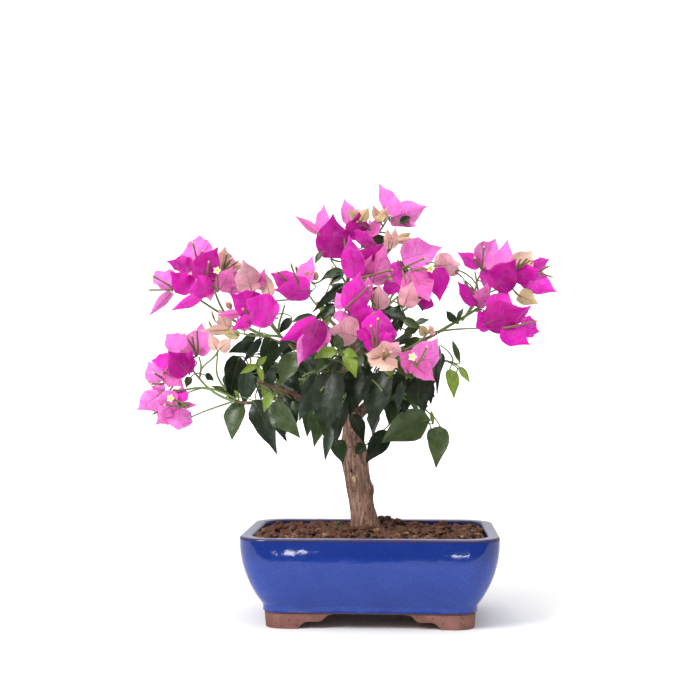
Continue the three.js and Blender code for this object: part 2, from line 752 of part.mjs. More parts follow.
// The plant's box is centred over the origin
const box = new THREE.Box3().setFromObject(plant, true);
const middle = box.getCenter(new THREE.Vector3());
plant.position.set(-middle.x, -middle.y, -box.min.z);

const example = new THREE.Group();
example.add(plant);
export default example;
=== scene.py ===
"""Looks of a flowering bougainvillea bonsai: glazed pot, clay feet, soil, bark, leaves and bracts."""

import math
from collections import namedtuple

import bmesh
import bpy
import numpy as np
from mathutils import Matrix, Vector, noise


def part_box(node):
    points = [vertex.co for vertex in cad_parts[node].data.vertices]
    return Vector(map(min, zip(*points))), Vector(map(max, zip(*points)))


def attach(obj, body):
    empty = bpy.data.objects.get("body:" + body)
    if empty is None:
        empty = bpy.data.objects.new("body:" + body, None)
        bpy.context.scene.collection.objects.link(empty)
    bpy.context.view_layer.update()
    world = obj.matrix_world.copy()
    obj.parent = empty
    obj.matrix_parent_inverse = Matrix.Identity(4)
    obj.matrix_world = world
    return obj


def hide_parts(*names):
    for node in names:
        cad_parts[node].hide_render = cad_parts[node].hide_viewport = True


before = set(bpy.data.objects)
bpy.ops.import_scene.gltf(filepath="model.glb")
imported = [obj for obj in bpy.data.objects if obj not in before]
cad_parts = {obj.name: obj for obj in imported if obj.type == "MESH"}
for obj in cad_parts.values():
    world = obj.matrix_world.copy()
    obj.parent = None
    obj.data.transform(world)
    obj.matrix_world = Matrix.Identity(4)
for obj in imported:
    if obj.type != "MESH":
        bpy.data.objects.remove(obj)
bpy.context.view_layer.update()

# Sizes in millimetres, in the pot's own frame: its centre at X = Y = 0, its soles at Z = 0
MM = 0.001
FIT = 0.3
UP = np.array([0.0, 0.0, 1.0])
DOWN = -UP
GOLDEN_ANGLE = math.pi * (3 - math.sqrt(5))
FULL_TURN = 6.28

# Pot
RIM_WIDTH = 226
RIM_DEPTH = 162
RIM_CORNER = 28
POT_HEIGHT = 80
FOOT_HEIGHT = 13.4
BAND_TOP = 20
BAND_DRAW = 0.6
WALL_INSET = 19
BULGE_TOP = 77
RIM_LIP = 11
RIM_ROUND = 2.5
POT_FLOOR = 22.4
CORNER_STEPS = 12
WALL_STEPS = 21
RIM_STEPS = 5
BULGE_RADIUS = ((BULGE_TOP - BAND_TOP) ** 2 + WALL_INSET ** 2) / (2 * WALL_INSET)

# Feet
FOOT_LENGTH = 56
FOOT_SIDE_LENGTH = 43
FOOT_SOLE = 24
FOOT_THICKNESS = 17
FOOT_DRAW = 1.6
FOOT_STEP = 6.2
FOOT_EDGE = 1.1
FOOT_CURVE = 11
FOOT_SECTIONS = 58

# Soil
SOIL_TOP = 80
SOIL_DROP = 3.5
BACK_DROP = 8
SOIL_LUMP = 1.2
HEAP_PLACE = (15, 14)
HEAP_HEIGHT = 6
HEAP_SPREAD = 11
HEAP_CRUMBS = 260
SPROUT_PLACE = (-29, 1)
SEEDLINGS = 14

# Trunk
TRUNK_FOOT = (-5, 0, SOIL_TOP + FIT)
TRUNK_BEND = (-13, 0, 124)
TRUNK_SHOULDER = (-19, 1, 158)
TRUNK_FORK = (-17, 1, 190)
TRUNK_RADIUS = 11
FORK_RADIUS = 5.5
ROOT_FLARE = 3
ROOT_LOBES = 5
KNOB_HEIGHT = 0.29
KNOB_SIZE = 2.4
SCAR_HEIGHT = 126
SCAR_ANGLE = math.radians(-104)
HOLE_HEIGHT = 133
HOLE_ANGLE = math.radians(-108)
TRUNK_ROWS = 130
TRUNK_SIDES = 88
PORES = 70

# Limbs and shoots
LIMB_LEAVE = 0.42
LIMB_ARRIVE = 0.36
BOUGH_ROW = 2.5
BOUGH_SIDES = 14
SHOOT_RADIUS = 1.0
STALK_LENGTH = (8, 14)
STALK_END = 2.4
FLOWER_REACH = 22

# Blades
MIDRIB_STEPS = 12
LEAF = dict(length=(30, 80), width=0.5, petiole=0.16, rise=0.7, taper=1.25, thick=0.014, fold=0.22)
BRACT = dict(length=(31, 39), width=0.74, petiole=0, rise=0.55, taper=0.95, thick=0.02, fold=0.18)
LEAFY_LEAF = (1, 0.55)
FLOWERING_LEAF = (0.7, 0.3)
BLADE_ROOT = 1.1
BRACTS_PER_FLOWER = 3
TRIES = 40
SPACE_MARGIN = 0.8
LIMB_MARGIN = 2.6
BLADE_MARGIN = 2.2
LOWEST_LEAF = 130

# Finer growth that the solids leave out
FINE_MARGIN = 0.7
FINE_TRIES = 14
YOUNG_LENGTH = (12, 30)
BUD_LENGTH = (11, 18)
TUBE_LENGTH = (17, 25)
STAR_RADIUS = 3.9

# One row for each mass of the crown, as in the solids. tints: the flowers' colours in the order they grow
MASSES = [
    dict(name="foliage_left", on="trunk", at=0.8, tip=(-84, -6, 204), girth=(4, 1.9), seed=192, leaves=5,
         shoots=[(-130, -6, 206), (-97, -36, 214), (-114, 22, 236)]),
    dict(name="foliage_right", on="trunk", at=0.86, tip=(22, -8, 202), girth=(4, 1.9), seed=206, leaves=5,
         shoots=[(42, -6, 204), (38, -44, 196), (44, 22, 230)]),
    dict(name="foliage_front", on="trunk", at=0.92, tip=(-17, -28, 212), girth=(3.6, 1.9), seed=150, leaves=6,
         shoots=[(-15, -76, 226), (-58, -58, 218), (-40, -82, 206),
                 (12, -84, 206), (32, -64, 198), (-38, -54, 238)]),
    dict(name="foliage_back_left", on="trunk", at=0.83, tip=(-50, 44, 210), girth=(3.6, 1.8), seed=15,
         leaves=6, shoots=[(-90, 72, 210), (-54, 92, 216)]),
    dict(name="foliage_back_right", on="trunk", at=0.88, tip=(16, 46, 206), girth=(3.6, 1.8), seed=16,
         leaves=6, shoots=[(42, 74, 208), (10, 94, 212)]),
    dict(name="foliage_back", on="trunk", at=0.96, tip=(-16, 48, 238), girth=(3, 1.7), seed=17,
         leaves=4, shoots=[(-30, 94, 252), (0, 90, 250)]),
    dict(name="blossom_top", on="trunk", at=1, tip=(-20, 2, 284), girth=(5, 1.9), seed=80, leaves=3,
         shoots=[(-25, -20, 364), (27, 12, 384), (-14, 52, 346)], flowers=[3, 2, 2],
         tints=["vivid", "deep", "bright", "pink", "peach"]),
    dict(name="blossom_left_high", on="blossom_top", at=0.28, tip=(-100, 4, 256), girth=(2.8, 1.5), seed=234,
         leaves=2, shoots=[(-194, 0, 314), (-160, 20, 334)], flowers=[4, 3],
         tints=["light", "vivid", "bright", "vivid", "pink", "bright", "peach"]),
    dict(name="blossom_left_mid", on="blossom_top", at=0.2, tip=(-72, -34, 248), girth=(2.6, 1.4), seed=65,
         leaves=3, shoots=[(-100, -62, 277), (-131, -50, 257), (-110, -16, 308), (-71, -44, 303)],
         flowers=[1, 2, 1, 2], tints=["bright", "peach", "pale", "pink", "vivid", "bright"]),
    dict(name="blossom_left_low", on="foliage_left", at=0.8, tip=(-122, -24, 196), girth=(1.9, 1.3), seed=115,
         leaves=2, shoots=[(-188, -6, 248), (-196, -44, 206)], flowers=[3, 4],
         tints=["light", "bright", "light", "light", "pink", "light", "bright"]),
    dict(name="blossom_centre", on="blossom_top", at=0.42, tip=(6, -34, 260), girth=(2.6, 1.5), seed=227,
         leaves=3, shoots=[(0, -62, 312), (46, -40, 312), (-16, -84, 282), (4, -94, 254), (34, -66, 286)],
         flowers=[2, 3, 1, 1, 1],
         tints=["vivid", "pink", "bright", "pale", "vivid", "bright", "pale", "peach"]),
    dict(name="blossom_right", on="blossom_top", at=0.26, tip=(60, 2, 258), girth=(2.8, 1.5), seed=171,
         leaves=2, shoots=[(148, -10, 318), (104, 20, 326), (120, -30, 264)], flowers=[3, 3, 2],
         tints=["bright", "peach", "vivid", "pink", "bright", "vivid", "deep", "vivid"]),
    dict(name="blossom_front_left", on="foliage_front", at=0.55, tip=(-46, -44, 246), girth=(1.8, 1.2),
         seed=122, leaves=3, size=(0.85, 0.5), shoots=[(-52, -112, 248)], flowers=[1], tints=["bright"]),
    dict(name="blossom_front_right", on="foliage_front", at=0.55, tip=(14, -46, 238), girth=(1.8, 1.2),
         seed=157, leaves=3, size=(0.85, 0.5), shoots=[(42, -100, 232), (13, -112, 234)], flowers=[1, 1],
         tints=["pink", "pale"]),
    dict(name="blossom_back_left", on="blossom_top", at=0.55, tip=(-48, 44, 280), girth=(2.2, 1.3), seed=32,
         leaves=3, shoots=[(-74, 74, 312), (-44, 90, 298)], flowers=[2, 2],
         tints=["bright", "pink", "vivid", "light"]),
    dict(name="blossom_back_right", on="blossom_top", at=0.62, tip=(28, 46, 280), girth=(2.2, 1.3), seed=33,
         leaves=3, shoots=[(58, 70, 308), (22, 92, 296)], flowers=[2, 2],
         tints=["vivid", "bright", "pale", "pink"]),
    dict(name="sprig_right", on="foliage_right", at=0.5, tip=(48, -18, 226), girth=(1.8, 1.2), seed=234,
         leaves=6, size=(0.2, 0.02), shoots=[(72, -30, 231)]),
]

# Flowers and leaves that the photograph shows, by the pixels they show at. depth: millimetres in Y.
# A bract's row: pixels of its base and tip, its width in pixels, its tint, and 1 if the tip comes towards
# the viewer, -1 if it goes away or 0 if it keeps its depth. A flower's bracts go from back to front
Flower = namedtuple("Flower", "depth heart bracts")
Tube = namedtuple("Tube", "depth base tip star")
Leaf = namedtuple("Leaf", "depth base tip width tint")
# In these rows the light tint partly paints backlight, and the deep and wine tints partly paint shade.
FLOWERS = [
    Flower(8, (198, 268), [((200, 268), (199, 235), 26, "light", -1),
        ((193, 268), (166, 261), 15, "bright", 1)]),
    Flower(-8, (213, 287), [((219, 291), (233, 266), 16, "pink", 1),
        ((198, 281), (218, 247), 24, "deep", 1), ((206, 278), (211, 302), 16, "pink", 0),
        ((213, 287), (189, 291), 20, "bright", 1)]),
    Flower(4, (172, 290), [((172, 289), (155, 271), 20, "light", -1),
        ((172, 292), (148, 317), 9, "light", 0)]),
    Flower(-4, (192, 294), [((191, 292), (170, 271), 20, "vivid", 1),
        ((202, 295), (170, 311), 10, "bright", 1)]),
    Flower(10, (224, 269), [((222, 270), (225, 246), 15, "peach", 1),
        ((230, 268), (245, 264), 8, "peach", 0)]),
    Flower(-10, (254, 292), [((270, 296), (263, 269), 12, "peach", 0),
        ((256, 289), (265, 268), 10, "pink", 0), ((243, 286), (230, 285), 4, "pink", 0),
        ((252, 292), (243, 259), 22, "pale", 1)]),
    Flower(-36, (230, 331), [((228, 331), (219, 308), 12, "peach", 1),
        ((228, 330), (200, 331), 9, "peach", 1), ((239, 336), (219, 331), 9, "bud", 0)]),
    Flower(-34, (218, 351), [((217, 350), (209, 332), 10, "peach", 0),
        ((219, 350), (232, 338), 11, "peach", 0)]),
    Flower(-50, (256, 315), [((240, 314), (216, 315), 8, "pink", 0),
        ((246, 318), (245, 332), 10, "pink", 0), ((258, 312), (230, 294), 23, "vivid", 1),
        ((252, 317), (231, 331), 10, "bright", 0), ((277, 317), (246, 300), 28, "bright", 1)]),
    Flower(-30, (304, 292), [((302, 285), (313, 255), 15, "light", -1),
        ((298, 286), (270, 273), 18, "bright", 1), ((311, 290), (274, 290), 21, "bright", 1)]),
    Flower(-5, (197, 356), [((192, 353), (173, 336), 14, "pink", -1),
        ((197, 356), (202, 322), 24, "light", -1), ((200, 350), (209, 353), 8, "pink", 0)]),
    Flower(-25, (188, 371), [((182, 351), (166, 333), 19, "light", -1),
        ((172, 362), (151, 360), 13, "bright", -1), ((186, 372), (192, 350), 14, "vivid", 0),
        ((189, 374), (168, 351), 22, "deep", 1)]),
    Flower(-15, (164, 383), [((160, 383), (148, 361), 18, "light", -1),
        ((165, 372), (184, 387), 14, "pink", 1)]),
    Flower(-20, (162, 396), [((165, 391), (150, 386), 9, "light", 0),
        ((160, 394), (137, 410), 20, "light", 1)]),
    Flower(-34, (177, 403), [((180, 404), (198, 405), 6, "pink", 0),
        ((176, 408), (155, 425), 16, "pink", 1), ((180, 407), (178, 430), 25, "light", 1),
        ((178, 403), (183, 386), 15, "bright", -1), ((174, 404), (157, 415), 15, "light", 1),
        ((178, 401), (154, 400), 18, "light", 1)]),
    Flower(-95, (320, 322), [((322, 326), (318, 356), 15, "pink", -1),
        ((318, 322), (279, 341), 17, "vivid", 0), ((309, 334), (298, 366), 12, "light", 1),
        ((320, 319), (304, 361), 18, "wine", 1)]),
    Flower(0, (331, 258), [((322, 233), (324, 203), 12, "light", -1),
        ((318, 233), (294, 215), 8, "pink", 0), ((331, 259), (333, 214), 29, "deep", 1)]),
    Flower(-30, (355, 280), [((355, 279), (349, 235), 20, "bright", 1)]),
    Flower(0, (361, 244), [((351, 226), (344, 198), 14, "light", -1),
        ((370, 241), (382, 213), 10, "pink", -1), ((358, 241), (359, 212), 21, "deep", 1),
        ((362, 246), (366, 232), 22, "bright", 1)]),
    Flower(-22, (360, 281), [((357, 273), (382, 244), 21, "deep", 1),
        ((372, 285), (386, 243), 20, "pink", 1), ((360, 281), (372, 255), 14, "pink", 1)]),
    Flower(12, (390, 221), [((396, 216), (378, 182), 16, "light", -1),
        ((398, 217), (416, 227), 10, "pink", 1), ((392, 218), (427, 206), 22, "light", 1),
        ((390, 221), (412, 221), 8, "pink", 0)]),
    Flower(-62, (349, 311), [((345, 308), (336, 292), 12, "light", -1),
        ((368, 291), (368, 276), 8, "light", 0), ((350, 312), (360, 272), 23, "bright", 1),
        ((345, 311), (340, 326), 14, "light", 1), ((350, 318), (376, 312), 21, "vivid", 1)]),
    Flower(-30, (405, 268), [((384, 284), (403, 291), 11, "vivid", 0),
        ((401, 260), (443, 247), 25, "light", -1), ((397, 261), (403, 291), 15, "bright", 0),
        ((437, 267), (440, 302), 20, "vivid", 0), ((428, 299), (424, 310), 12, "vivid", 0),
        ((411, 269), (430, 301), 26, "pink", 1), ((412, 282), (424, 299), 7, "deep", 0)]),
    Flower(-5, (434, 266), [((440, 272), (448, 283), 10, "pale", 0),
        ((434, 266), (461, 264), 21, "pale", 1)]),
    Flower(-55, (380, 310), [((372, 300), (370, 286), 7, "pink", 0),
        ((378, 310), (379, 284), 15, "pale", 1)]),
    Flower(-78, (359, 339), [((358, 337), (330, 329), 24, "pale", 1)]),
    Flower(-48, (404, 307), [((404, 306), (401, 284), 9, "pale", 0),
        ((405, 305), (422, 299), 8, "pale", 0), ((404, 307), (413, 281), 16, "pale", 1)]),
    Flower(-88, (373, 347), [((367, 336), (356, 331), 11, "vivid", 0),
        ((374, 347), (380, 310), 28, "bright", 1), ((376, 347), (392, 333), 16, "bright", 1),
        ((372, 350), (366, 330), 10, "vivid", 0)]),
    Flower(-105, (384, 358), [((384, 359), (399, 342), 17, "pale", 1),
        ((387, 358), (366, 354), 17, "peach", 1), ((384, 355), (386, 371), 21, "peach", 1)]),
    Flower(-98, (417, 365), [((418, 366), (398, 353), 17, "pink", 1),
        ((418, 366), (438, 338), 22, "light", 1), ((415, 366), (435, 381), 15, "pink", 0)]),
    Flower(0, (483, 269), [((480, 268), (496, 238), 25, "light", -1),
        ((486, 268), (491, 290), 14, "bright", 0), ((481, 266), (457, 252), 13, "bright", 1)]),
    Flower(-12, (497, 289), [((500, 276), (508, 238), 17, "light", -1),
        ((494, 290), (516, 259), 25, "deep", 1)]),
    Flower(-8, (516, 276), [((530, 268), (550, 259), 12, "bright", -1),
        ((514, 272), (533, 250), 20, "peach", -1), ((521, 276), (557, 292), 20, "bright", 1),
        ((514, 277), (540, 270), 18, "vivid", 1)]),
    Flower(-10, (518, 295), [((518, 295), (539, 304), 14, "bud", 0)]),
    Flower(-14, (477, 306), [((478, 308), (488, 283), 15, "pink", 1),
        ((477, 305), (457, 281), 13, "vivid", 1)]),
    Flower(-22, (487, 325), [((494, 316), (508, 292), 24, "bright", -1),
        ((510, 323), (532, 305), 12, "bright", 0), ((492, 328), (478, 311), 16, "vivid", 0),
        ((485, 324), (526, 308), 27, "deep", 1)]),
    Flower(-26, (503, 327), [((520, 325), (540, 332), 17, "bright", -1),
        ((502, 327), (530, 345), 20, "vivid", 1)]),
]
BUDS = [
    Flower(-8, (361, 222), [((360, 220), (358, 208), 10, "peach", -1),
        ((360, 221), (347, 209), 9, "bud", 1), ((361, 221), (369, 207), 9, "bud", 1)]),
    Flower(4, (380, 222), [((378, 220), (373, 204), 7, "peach", 1),
        ((382, 222), (388, 206), 8, "peach", 1), ((380, 222), (382, 208), 9, "bud", -1)]),
    Flower(-12, (390, 250), [((389, 249), (385, 237), 6, "peach", 0),
        ((389, 249), (387, 227), 8, "peach", 1), ((391, 249), (396, 226), 8, "peach", 1)]),
    Flower(-5, (398, 241), [((398, 241), (412, 232), 7, "bud", 1),
        ((397, 242), (415, 238), 6, "peach", 1)]),
    Flower(-25, (312, 283), [((311, 280), (306, 271), 9, "bud", 1),
        ((312, 280), (317, 271), 9, "bud", 1)]),
    Flower(-60, (426, 335), [((426, 335), (420, 325), 8, "bud", 1),
        ((428, 333), (434, 327), 8, "peach", 1)]),
    Flower(-12, (231, 309), [((231, 309), (225, 301), 5, "peach", 1),
        ((231, 309), (229, 301), 4, "peach", 1)]),
]
# The true flowers: slender tubes from base to tip, some of them open in a star
TUBES = [
    Tube(6, (197, 260), (193, 243), False), Tube(6, (198, 258), (203, 251), False),
    Tube(2, (172, 287), (153, 276), False), Tube(2, (172, 290), (149, 290), False),
    Tube(-14, (207, 276), (209, 262), False), Tube(-14, (218, 291), (217, 272), True),
    Tube(8, (224, 266), (227, 254), False), Tube(8, (226, 266), (231, 259), False),
    Tube(8, (232, 266), (238, 261), False), Tube(-8, (196, 352), (184, 334), False),
    Tube(-8, (195, 351), (192, 336), False), Tube(-8, (198, 352), (197, 330), False),
    Tube(-22, (163, 384), (151, 384), False), Tube(-22, (162, 378), (154, 373), False),
    Tube(-46, (187, 405), (172, 399), True), Tube(-46, (184, 407), (165, 405), False),
    Tube(-36, (160, 411), (153, 414), False), Tube(-28, (357, 279), (392, 270), False),
    Tube(-72, (346, 308), (369, 286), False), Tube(-36, (403, 268), (425, 258), False),
    Tube(-36, (410, 270), (429, 269), True), Tube(-4, (481, 269), (484, 247), False),
    Tube(-4, (480, 267), (475, 258), False), Tube(-14, (516, 269), (521, 258), False),
    Tube(-14, (517, 269), (528, 258), False), Tube(-14, (519, 268), (531, 260), False),
    Tube(-14, (540, 273), (552, 277), False), Tube(-10, (540, 271), (549, 266), False),
    Tube(-16, (479, 296), (475, 272), False), Tube(-16, (475, 295), (464, 281), False),
    Tube(-30, (505, 328), (537, 321), False), Tube(-36, (298, 285), (291, 264), False),
    Tube(-36, (290, 283), (277, 272), False), Tube(-62, (248, 313), (243, 309), False),
    Tube(-38, (215, 333), (209, 322), False),
    Tube(-38, (214, 319), (212, 312), False), Tube(-96, (374, 345), (371, 326), False),
    Tube(-96, (377, 345), (378, 319), False), Tube(-112, (384, 359), (391, 352), False),
    Tube(-112, (383, 360), (384, 351), False), Tube(-106, (417, 366), (427, 347), False),
    Tube(-106, (416, 365), (413, 358), True),
]
# Brown twigs: depth and the pixels of both ends
TWIGS = [(-40, (301, 399), (257, 382))]
# Green twigs: pixel and depth of the start, a pixel on the way, pixel and depth of the end
GREEN_TWIGS = [
    ((434, 332), 0, (460, 329), (497, 328), -24), ((462, 321), -4, (484, 296), (510, 285), -8),
    ((498, 286), -9, (509, 287), (518, 294), -10), ((234, 398), -24, (208, 388), (187, 393), -20),
    ((234, 401), -24, (208, 410), (191, 417), -34), ((226, 390), -26, (217, 374), (218, 350), -34),
    ((200, 376), -20, (201, 366), (199, 357), -6), ((345, 282), -10, (338, 270), (331, 260), 0),
]
# Rows with the grey-green sheen tint get a painted sheen, for leaves that catch a glossy reflection; olive
# rows carry in part a painted backlight.
LEAVES = [
    Leaf(-8, (240, 356), (229, 400), 25, "dark"),
    Leaf(-14, (247, 369), (244, 406), 17, "grey"),
    Leaf(-2, (257, 345), (228, 353), 13, "dark"),
    Leaf(-10, (262, 338), (243, 363), 9, "grey"),
    Leaf(-16, (239, 400), (232, 440), 20, "olive"),
    Leaf(-24, (252, 400), (277, 455), 22, "dark"),
    Leaf(-14, (256, 400), (287, 442), 15, "grey"),
    Leaf(-34, (268, 407), (300, 438), 23, "olive"),
    Leaf(-40, (311, 405), (307, 437), 14, "deep"),
    Leaf(-40, (271, 393), (264, 412), 10, "young"),
    Leaf(-36, (258, 365), (240, 374), 7, "young"),
    Leaf(-36, (258, 366), (267, 356), 6, "young"),
    Leaf(-38, (258, 367), (263, 383), 6, "young"),
    Leaf(-40, (295, 354), (280, 384), 20, "olive"),
    Leaf(-24, (271, 338), (265, 375), 20, "deep"),
    Leaf(-26, (268, 368), (272, 396), 14, "grey"),
    Leaf(-34, (291, 333), (276, 358), 9, "grey"),
    Leaf(-62, (318, 374), (299, 421), 20, "grey"),
    Leaf(-72, (333, 370), (325, 440), 31, "dark"),
    Leaf(-60, (331, 425), (325, 461), 10, "grey"),
    Leaf(-50, (335, 440), (343, 464), 16, "deep"),
    Leaf(-46, (345, 398), (333, 450), 18, "dark"),
    Leaf(-30, (283, 395), (297, 423), 17, "dark"),
    Leaf(-36, (293, 400), (298, 421), 8, "deep"),
    Leaf(-32, (275, 396), (290, 426), 9, "olive"),
    Leaf(-92, (345, 354), (356, 378), 12, "young"),
    Leaf(-92, (343, 352), (358, 357), 9, "young"),
    Leaf(-92, (338, 352), (314, 359), 11, "young"),
    Leaf(-90, (340, 350), (336, 334), 10, "olive"),
    Leaf(-92, (331, 359), (314, 375), 10, "olive"),
    Leaf(-62, (362, 366), (355, 409), 30, "dark"),
    Leaf(-70, (383, 371), (372, 430), 27, "dark"),
    Leaf(-56, (396, 400), (389, 425), 12, "deep"),
    Leaf(-64, (409, 370), (391, 397), 15, "dark"),
    Leaf(-70, (402, 382), (397, 412), 9, "grey"),
    Leaf(-58, (410, 380), (416, 412), 17, "olive"),
    Leaf(-66, (416, 376), (424, 412), 24, "dark"),
    Leaf(-40, (431, 420), (382, 443), 31, "green"),
    Leaf(-30, (431, 428), (432, 453), 9, "grey"),
    Leaf(-36, (440, 426), (436, 468), 21, "green"),
    Leaf(-36, (433, 424), (431, 410), 4, "young"),
    Leaf(-24, (389, 431), (366, 463), 20, "dark"),
    Leaf(-18, (366, 445), (355, 455), 11, "deep"),
    Leaf(-96, (395, 362), (411, 379), 9, "olive"),
    Leaf(-60, (439, 346), (437, 397), 7, "dark"),
    Leaf(-30, (460, 363), (452, 340), 6, "olive"),
    Leaf(-30, (459, 367), (470, 383), 7, "young"),
    Leaf(-32, (450, 369), (454, 399), 13, "young"),
    Leaf(-12, (345, 272), (320, 281), 9, "deep"),
    Leaf(-14, (344, 273), (331, 284), 8, "deep"),
    Leaf(-4, (322, 252), (315, 264), 6, "olive"),
    Leaf(-36, (344, 286), (312, 313), 9, "dark"),
    Leaf(-34, (345, 283), (336, 304), 10, "dark"),
    Leaf(-40, (315, 316), (290, 323), 7, "deep"),
    Leaf(-4, (385, 241), (371, 238), 10, "deep"),
    Leaf(6, (400, 224), (411, 217), 8, "deep"),
    Leaf(-52, (382, 310), (408, 319), 9, "dark"),
    Leaf(-54, (398, 320), (387, 339), 10, "dark"),
    Leaf(-56, (402, 320), (421, 330), 9, "olive"),
    Leaf(-18, (456, 323), (446, 311), 8, "deep"),
    Leaf(-18, (457, 322), (464, 308), 5, "olive"),
    Leaf(-18, (191, 377), (186, 388), 8, "olive"),
    Leaf(-14, (205, 375), (214, 381), 7, "deep"),
    Leaf(-20, (229, 394), (211, 386), 6, "olive"),
    Leaf(-22, (239, 399), (234, 390), 4, "young"),
    Leaf(-28, (257, 335), (240, 344), 9, "deep"),
    Leaf(-40, (412, 336), (390, 345), 9, "deep"),
    Leaf(-38, (420, 338), (402, 350), 9, "olive"),
    Leaf(-30, (300, 345), (318, 372), 16, "dark"),
    Leaf(-26, (283, 372), (300, 392), 16, "dark"),
    Leaf(-20, (440, 352), (430, 392), 18, "dark"),
    Leaf(-20, (351, 414), (364, 444), 14, "dark"),
    Leaf(-30, (358, 380), (350, 416), 20, "dark"),
    Leaf(-44, (322, 408), (314, 447), 16, "olive"),
    Leaf(-38, (336, 304), (322, 322), 9, "deep"),
    Leaf(-38, (330, 312), (314, 320), 8, "olive"),
    Leaf(-36, (292, 318), (279, 334), 9, "dark"),
    Leaf(-46, (404, 334), (421, 326), 9, "olive"),
    Leaf(-44, (414, 326), (430, 320), 6, "olive"),
    Leaf(-60, (405, 396), (404, 414), 12, "dark"),
    Leaf(-62, (428, 378), (431, 405), 10, "dark"),
    Leaf(-22, (300, 338), (282, 356), 16, "dark"),
]
# Where the photograph shows a close dark heart of leaves: pixel and radius in pixels
LEAFY_HEART = [(300, 365, 26), (335, 380, 34), (375, 385, 34), (408, 365, 30), (330, 415, 22), (280, 395, 24),
               (260, 370, 20), (285, 345, 18), (320, 335, 16), (395, 335, 22), (365, 355, 26)]
PIXELS_PER_MM = 1.1

# Pixels that growth fills round its points on the plan, the shares of other leaves and blooms that have to
# keep within these, how far behind they keep, and the hidden blooms tried for each shoot
PLAN_REACH = 2
PLAN_SHARE = 0.985
BLOOM_SHARE = 0.97
PLAN_BEHIND = 2
HIDDEN_BLOOMS = 7

# Outlines and poses of the blades that show
SEEN_LEAF = dict(petiole=0.05, rise=0.62, taper=0.85, drip=0.5, fold=0.3)
ROUND_BRACT = dict(rise=0.44, taper=0.7, drip=0.5)
POINTED_BRACT = dict(rise=0.4, taper=0.8, drip=0.66)
ROUND_FROM = 0.9
FOLD_ALLOWANCE = 1.2
LEAST_BRACT = 23
LEAST_BUD = 12
BRACT_TILT = 1.09
BRACT_APART = 1.8
BULGE = 0.13
TUBE_LEAN = 7
SEEN_TUBE = 0.9
STALK_BEHIND = 1.5

pot_low, pot_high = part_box("pot_body")
POT_CENTRE = np.array([(pot_low.x + pot_high.x) / 2, (pot_low.y + pot_high.y) / 2, 0.0])


def to_row(points):
    """Points of the pot's own frame, in millimetres, as metres in the row frame."""
    return np.asarray(points, float) * MM + POT_CENTRE


def mix(low, high, share):
    return low + (high - low) * share


def unit(vector):
    return vector / np.linalg.norm(vector)


def unit_rows(rows):
    return rows / np.linalg.norm(rows, axis=1, keepdims=True)


def seeded(seed):
    """A seeded sequence of numbers from 0 to 1."""
    state = seed * 7919 + 17

    def draw():
        nonlocal state
        state = state * 48271 % 2147483647
        return state / 2147483647

    return draw


# Sight lines of the photograph
CAMERA = np.array([37.727, -1153.903, 215.352])
CAMERA_YAW = 0.049514
CAMERA_PITCH = 0.023458
CAMERA_LENS = 65.05
SENSOR = 36
PHOTO_SIZE = 700
FOCAL = CAMERA_LENS / SENSOR * PHOTO_SIZE
RIGHT = np.array([math.cos(CAMERA_YAW), math.sin(CAMERA_YAW), 0])
FORWARD = np.cross(UP, RIGHT) * math.cos(CAMERA_PITCH) + UP * math.sin(CAMERA_PITCH)
RISE = np.cross(RIGHT, FORWARD)


def sight(u, v, depth):
    """The place at a depth in Y that shows at a pixel of the photograph."""
    ray = FORWARD + RIGHT * ((u - PHOTO_SIZE / 2) / FOCAL) - RISE * ((v - PHOTO_SIZE / 2) / FOCAL)
    return CAMERA + ray * ((depth - CAMERA[1]) / ray[1])


def on_photo(places):
    """The pixels that places show at, as whole columns and rows."""
    off = places - CAMERA
    along = off @ FORWARD
    u = PHOTO_SIZE / 2 + FOCAL * (off @ RIGHT) / along
    v = PHOTO_SIZE / 2 - FOCAL * (off @ RISE) / along
    return u.round().astype(int), v.round().astype(int)


# Materials
def tint(code):
    """The linear colour of a six-figure screen colour."""
    parts = [int(code[i:i + 2], 16) / 255 for i in (0, 2, 4)]
    return tuple(p / 12.92 if p <= 0.04045 else ((p + 0.055) / 1.055) ** 2.4 for p in parts) + (1.0,)


class Signal:
    """An output of a node, on which arithmetic adds Math nodes."""

    def __init__(self, finish, socket):
        self.finish = finish
        self.socket = socket

    def maths(self, operation, first, second):
        return self.finish.node("ShaderNodeMath", {"operation": operation}, {0: first, 1: second})

    def __add__(self, other):
        return self.maths("ADD", self, other)

    def __sub__(self, other):
        return self.maths("SUBTRACT", self, other)

    def __rsub__(self, other):
        return self.maths("SUBTRACT", other, self)

    def __mul__(self, other):
        return self.maths("MULTIPLY", self, other)

    __radd__ = __add__
    __rmul__ = __mul__


